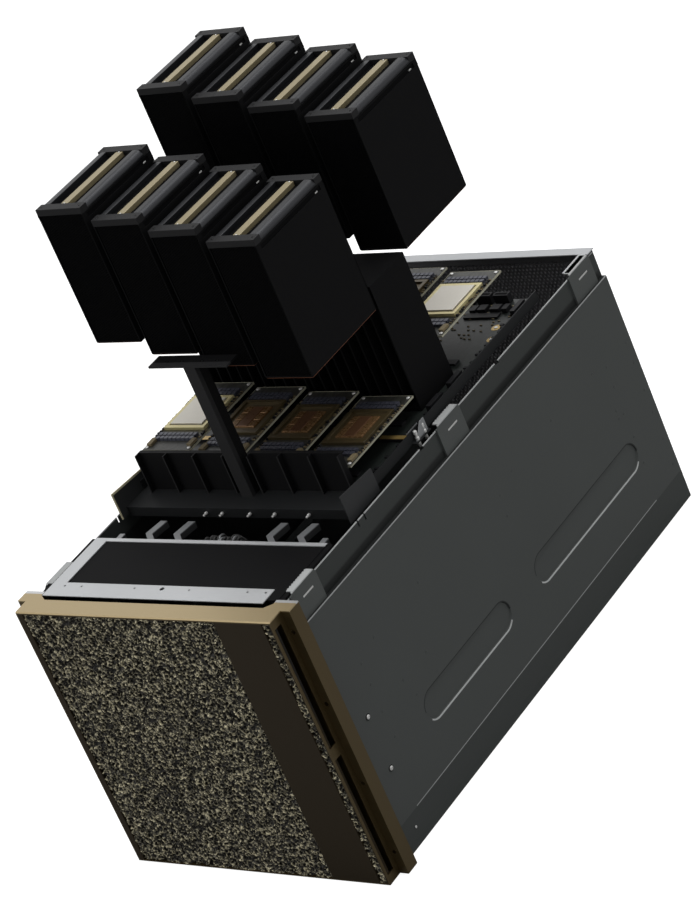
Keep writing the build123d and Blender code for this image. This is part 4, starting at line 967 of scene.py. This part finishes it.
# Carrier board: chips, coils, cable sockets and pads round the modules
boardLow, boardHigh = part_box("carrier_board")
edgeX, rearY, boardTop = boardHigh
carrier = {"sockets": 5, "first": 0.03, "pitch": 0.031, "tall": 0.015, "low": 0.0075, "blockRear": 0.0298,
           "blocks": ((0.154, 0.016, 0.0074), (0.131, 0.014, 0.007), (0.1715, 0.009, 0.0074),
                      (0.115, 0.01, 0.006), (-0.15, 0.022, 0.007), (-0.11, 0.014, 0.0056))}
shape = Shape("carrierParts", "gpu_tray")
for side in (-1, 1):
    for step in range(carrier["sockets"]):
        x = side * (carrier["first"] + step * carrier["pitch"])
        crest = boardTop + carrier["tall" if side > 0 and step > 2 else "low"]
        shape.slab(x, rearY - 0.008, (0.025, 0.01), boardTop, crest, "connector_plastic")
        # the sockets' mouths are painted near-black as shade
        shape.slab(x, rearY - 0.008, (0.021, 0.005), crest, crest + 0.0004, "shadeFill")
    for y in (rearY - 0.03, rearY - 0.212, boardLow.y + 0.19):
        shape.slab(side * (edgeX - 0.007), y, (0.008, 0.032), boardTop, boardTop + 0.009, "connector_plastic")
    for x, y in ((edgeX - 0.02, rearY - 0.075), (edgeX - 0.01, rearY - 0.105)):
        shape.lathe((side * x, y, boardTop), 2, ((0.0, 0.0075), (0.0005, 0.0075)), "goldBar", 24)
        shape.lathe((side * x, y, boardTop + 0.0005), 2, ((0.0, 0.003), (0.0009, 0.0028)), "steel", 14)
    shape.slab(side * (edgeX - 0.023), boardLow.y + 0.1045, (0.0456, 0.0086), boardTop + 0.005,
               boardTop + 0.0054, "goldBar")
for x, wide, tall in carrier["blocks"]:
    # these stand between the modules' plugs and their rear edge, under the seated boards
    shape.slab(x, rearY - carrier["blockRear"], (wide, 0.014), boardTop, boardTop + tall, "connector_plastic")
shape.close(0.0004)
rows("carrierCoils", "gpu_tray", "coil", (-0.088, rearY - 0.0236, boardTop + 0.003), (0.0072, 0.0072, 0.006),
     16, 2, 0.0098, -0.0092, Share=0.8, Seed=4)
rows("carrierChips", "gpu_tray", "ceramic", (-0.186, rearY - 0.018, boardTop + 0.0006),
     (0.0034, 0.0018, 0.0012), 46, 9, 0.0082, -0.0105, Jitter=(0.0026, 0.0034, 0.0), Share=0.42, Seed=11)
rows("carrierSideChips", "gpu_tray", "connector_plastic", (-0.189, boardLow.y + 0.012, boardTop + 0.001),
     (0.006, 0.0046, 0.002), 2, 52, 0.378, 0.0086, Jitter=(0.004, 0.002, 0.0), Share=0.6, Seed=6)
rows("carrierFrontChips", "gpu_tray", "ceramic", (-0.175, boardLow.y + 0.008, boardTop + 0.0006),
     (0.0036, 0.002, 0.0012), 30, 3, 0.012, 0.0072, Jitter=(0.003, 0.002, 0.0), Share=0.5, Seed=9)
print("carrier board")

# Screws on the top frame and the divider's plate: (radius, height, radius at the crown)
frameLow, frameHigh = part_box("front_top_frame")
dividerLow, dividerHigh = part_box("center_divider")
for name, body, spots, y, z, head, finish, sides in (
        ("frameScrews", "chassis", (-0.181, -0.15, -0.053, 0.0445, 0.146, 0.177), frameLow.y + 0.0225,
         frameHigh.z, (0.0026, 0.0009, 0.0016), "handle", 16),
        ("dividerScrews", "gpu_tray", (-0.045, -0.018, 0.018, 0.045), dividerLow.y + 0.0125, dividerHigh.z,
         (0.0024, 0.001, 0.0012), "steel", 14)):
    wide, tall, crown = head
    shape = Shape(name, body)
    for x in spots:
        shape.lathe((x, y, z - tall), 2, ((0.0, wide), (0.0006, wide), (tall, crown)), finish, sides)
    shape.close(0)

# Brackets behind the tray's posts
shape = Shape("postBrackets", "gpu_tray")
front, under = trayLow.y + 0.16, trayHigh.z - 0.014
for side in (-1, 1):
    x = side * trayHigh.x
    shape.box((x - side * 0.0165, front, under), (x - side * 0.015, front + 0.028, trayHigh.z - 0.002),
              "handle")
    shape.prism([(front, under), (front + 0.03, under), (front + 0.03, trayHigh.z + 0.006),
                 (front + 0.02, trayHigh.z + 0.006)], 0, x - side * 0.0036, x - side * 0.0024, "handle")
shape.close(0.0002)
print("frame screws and brackets")
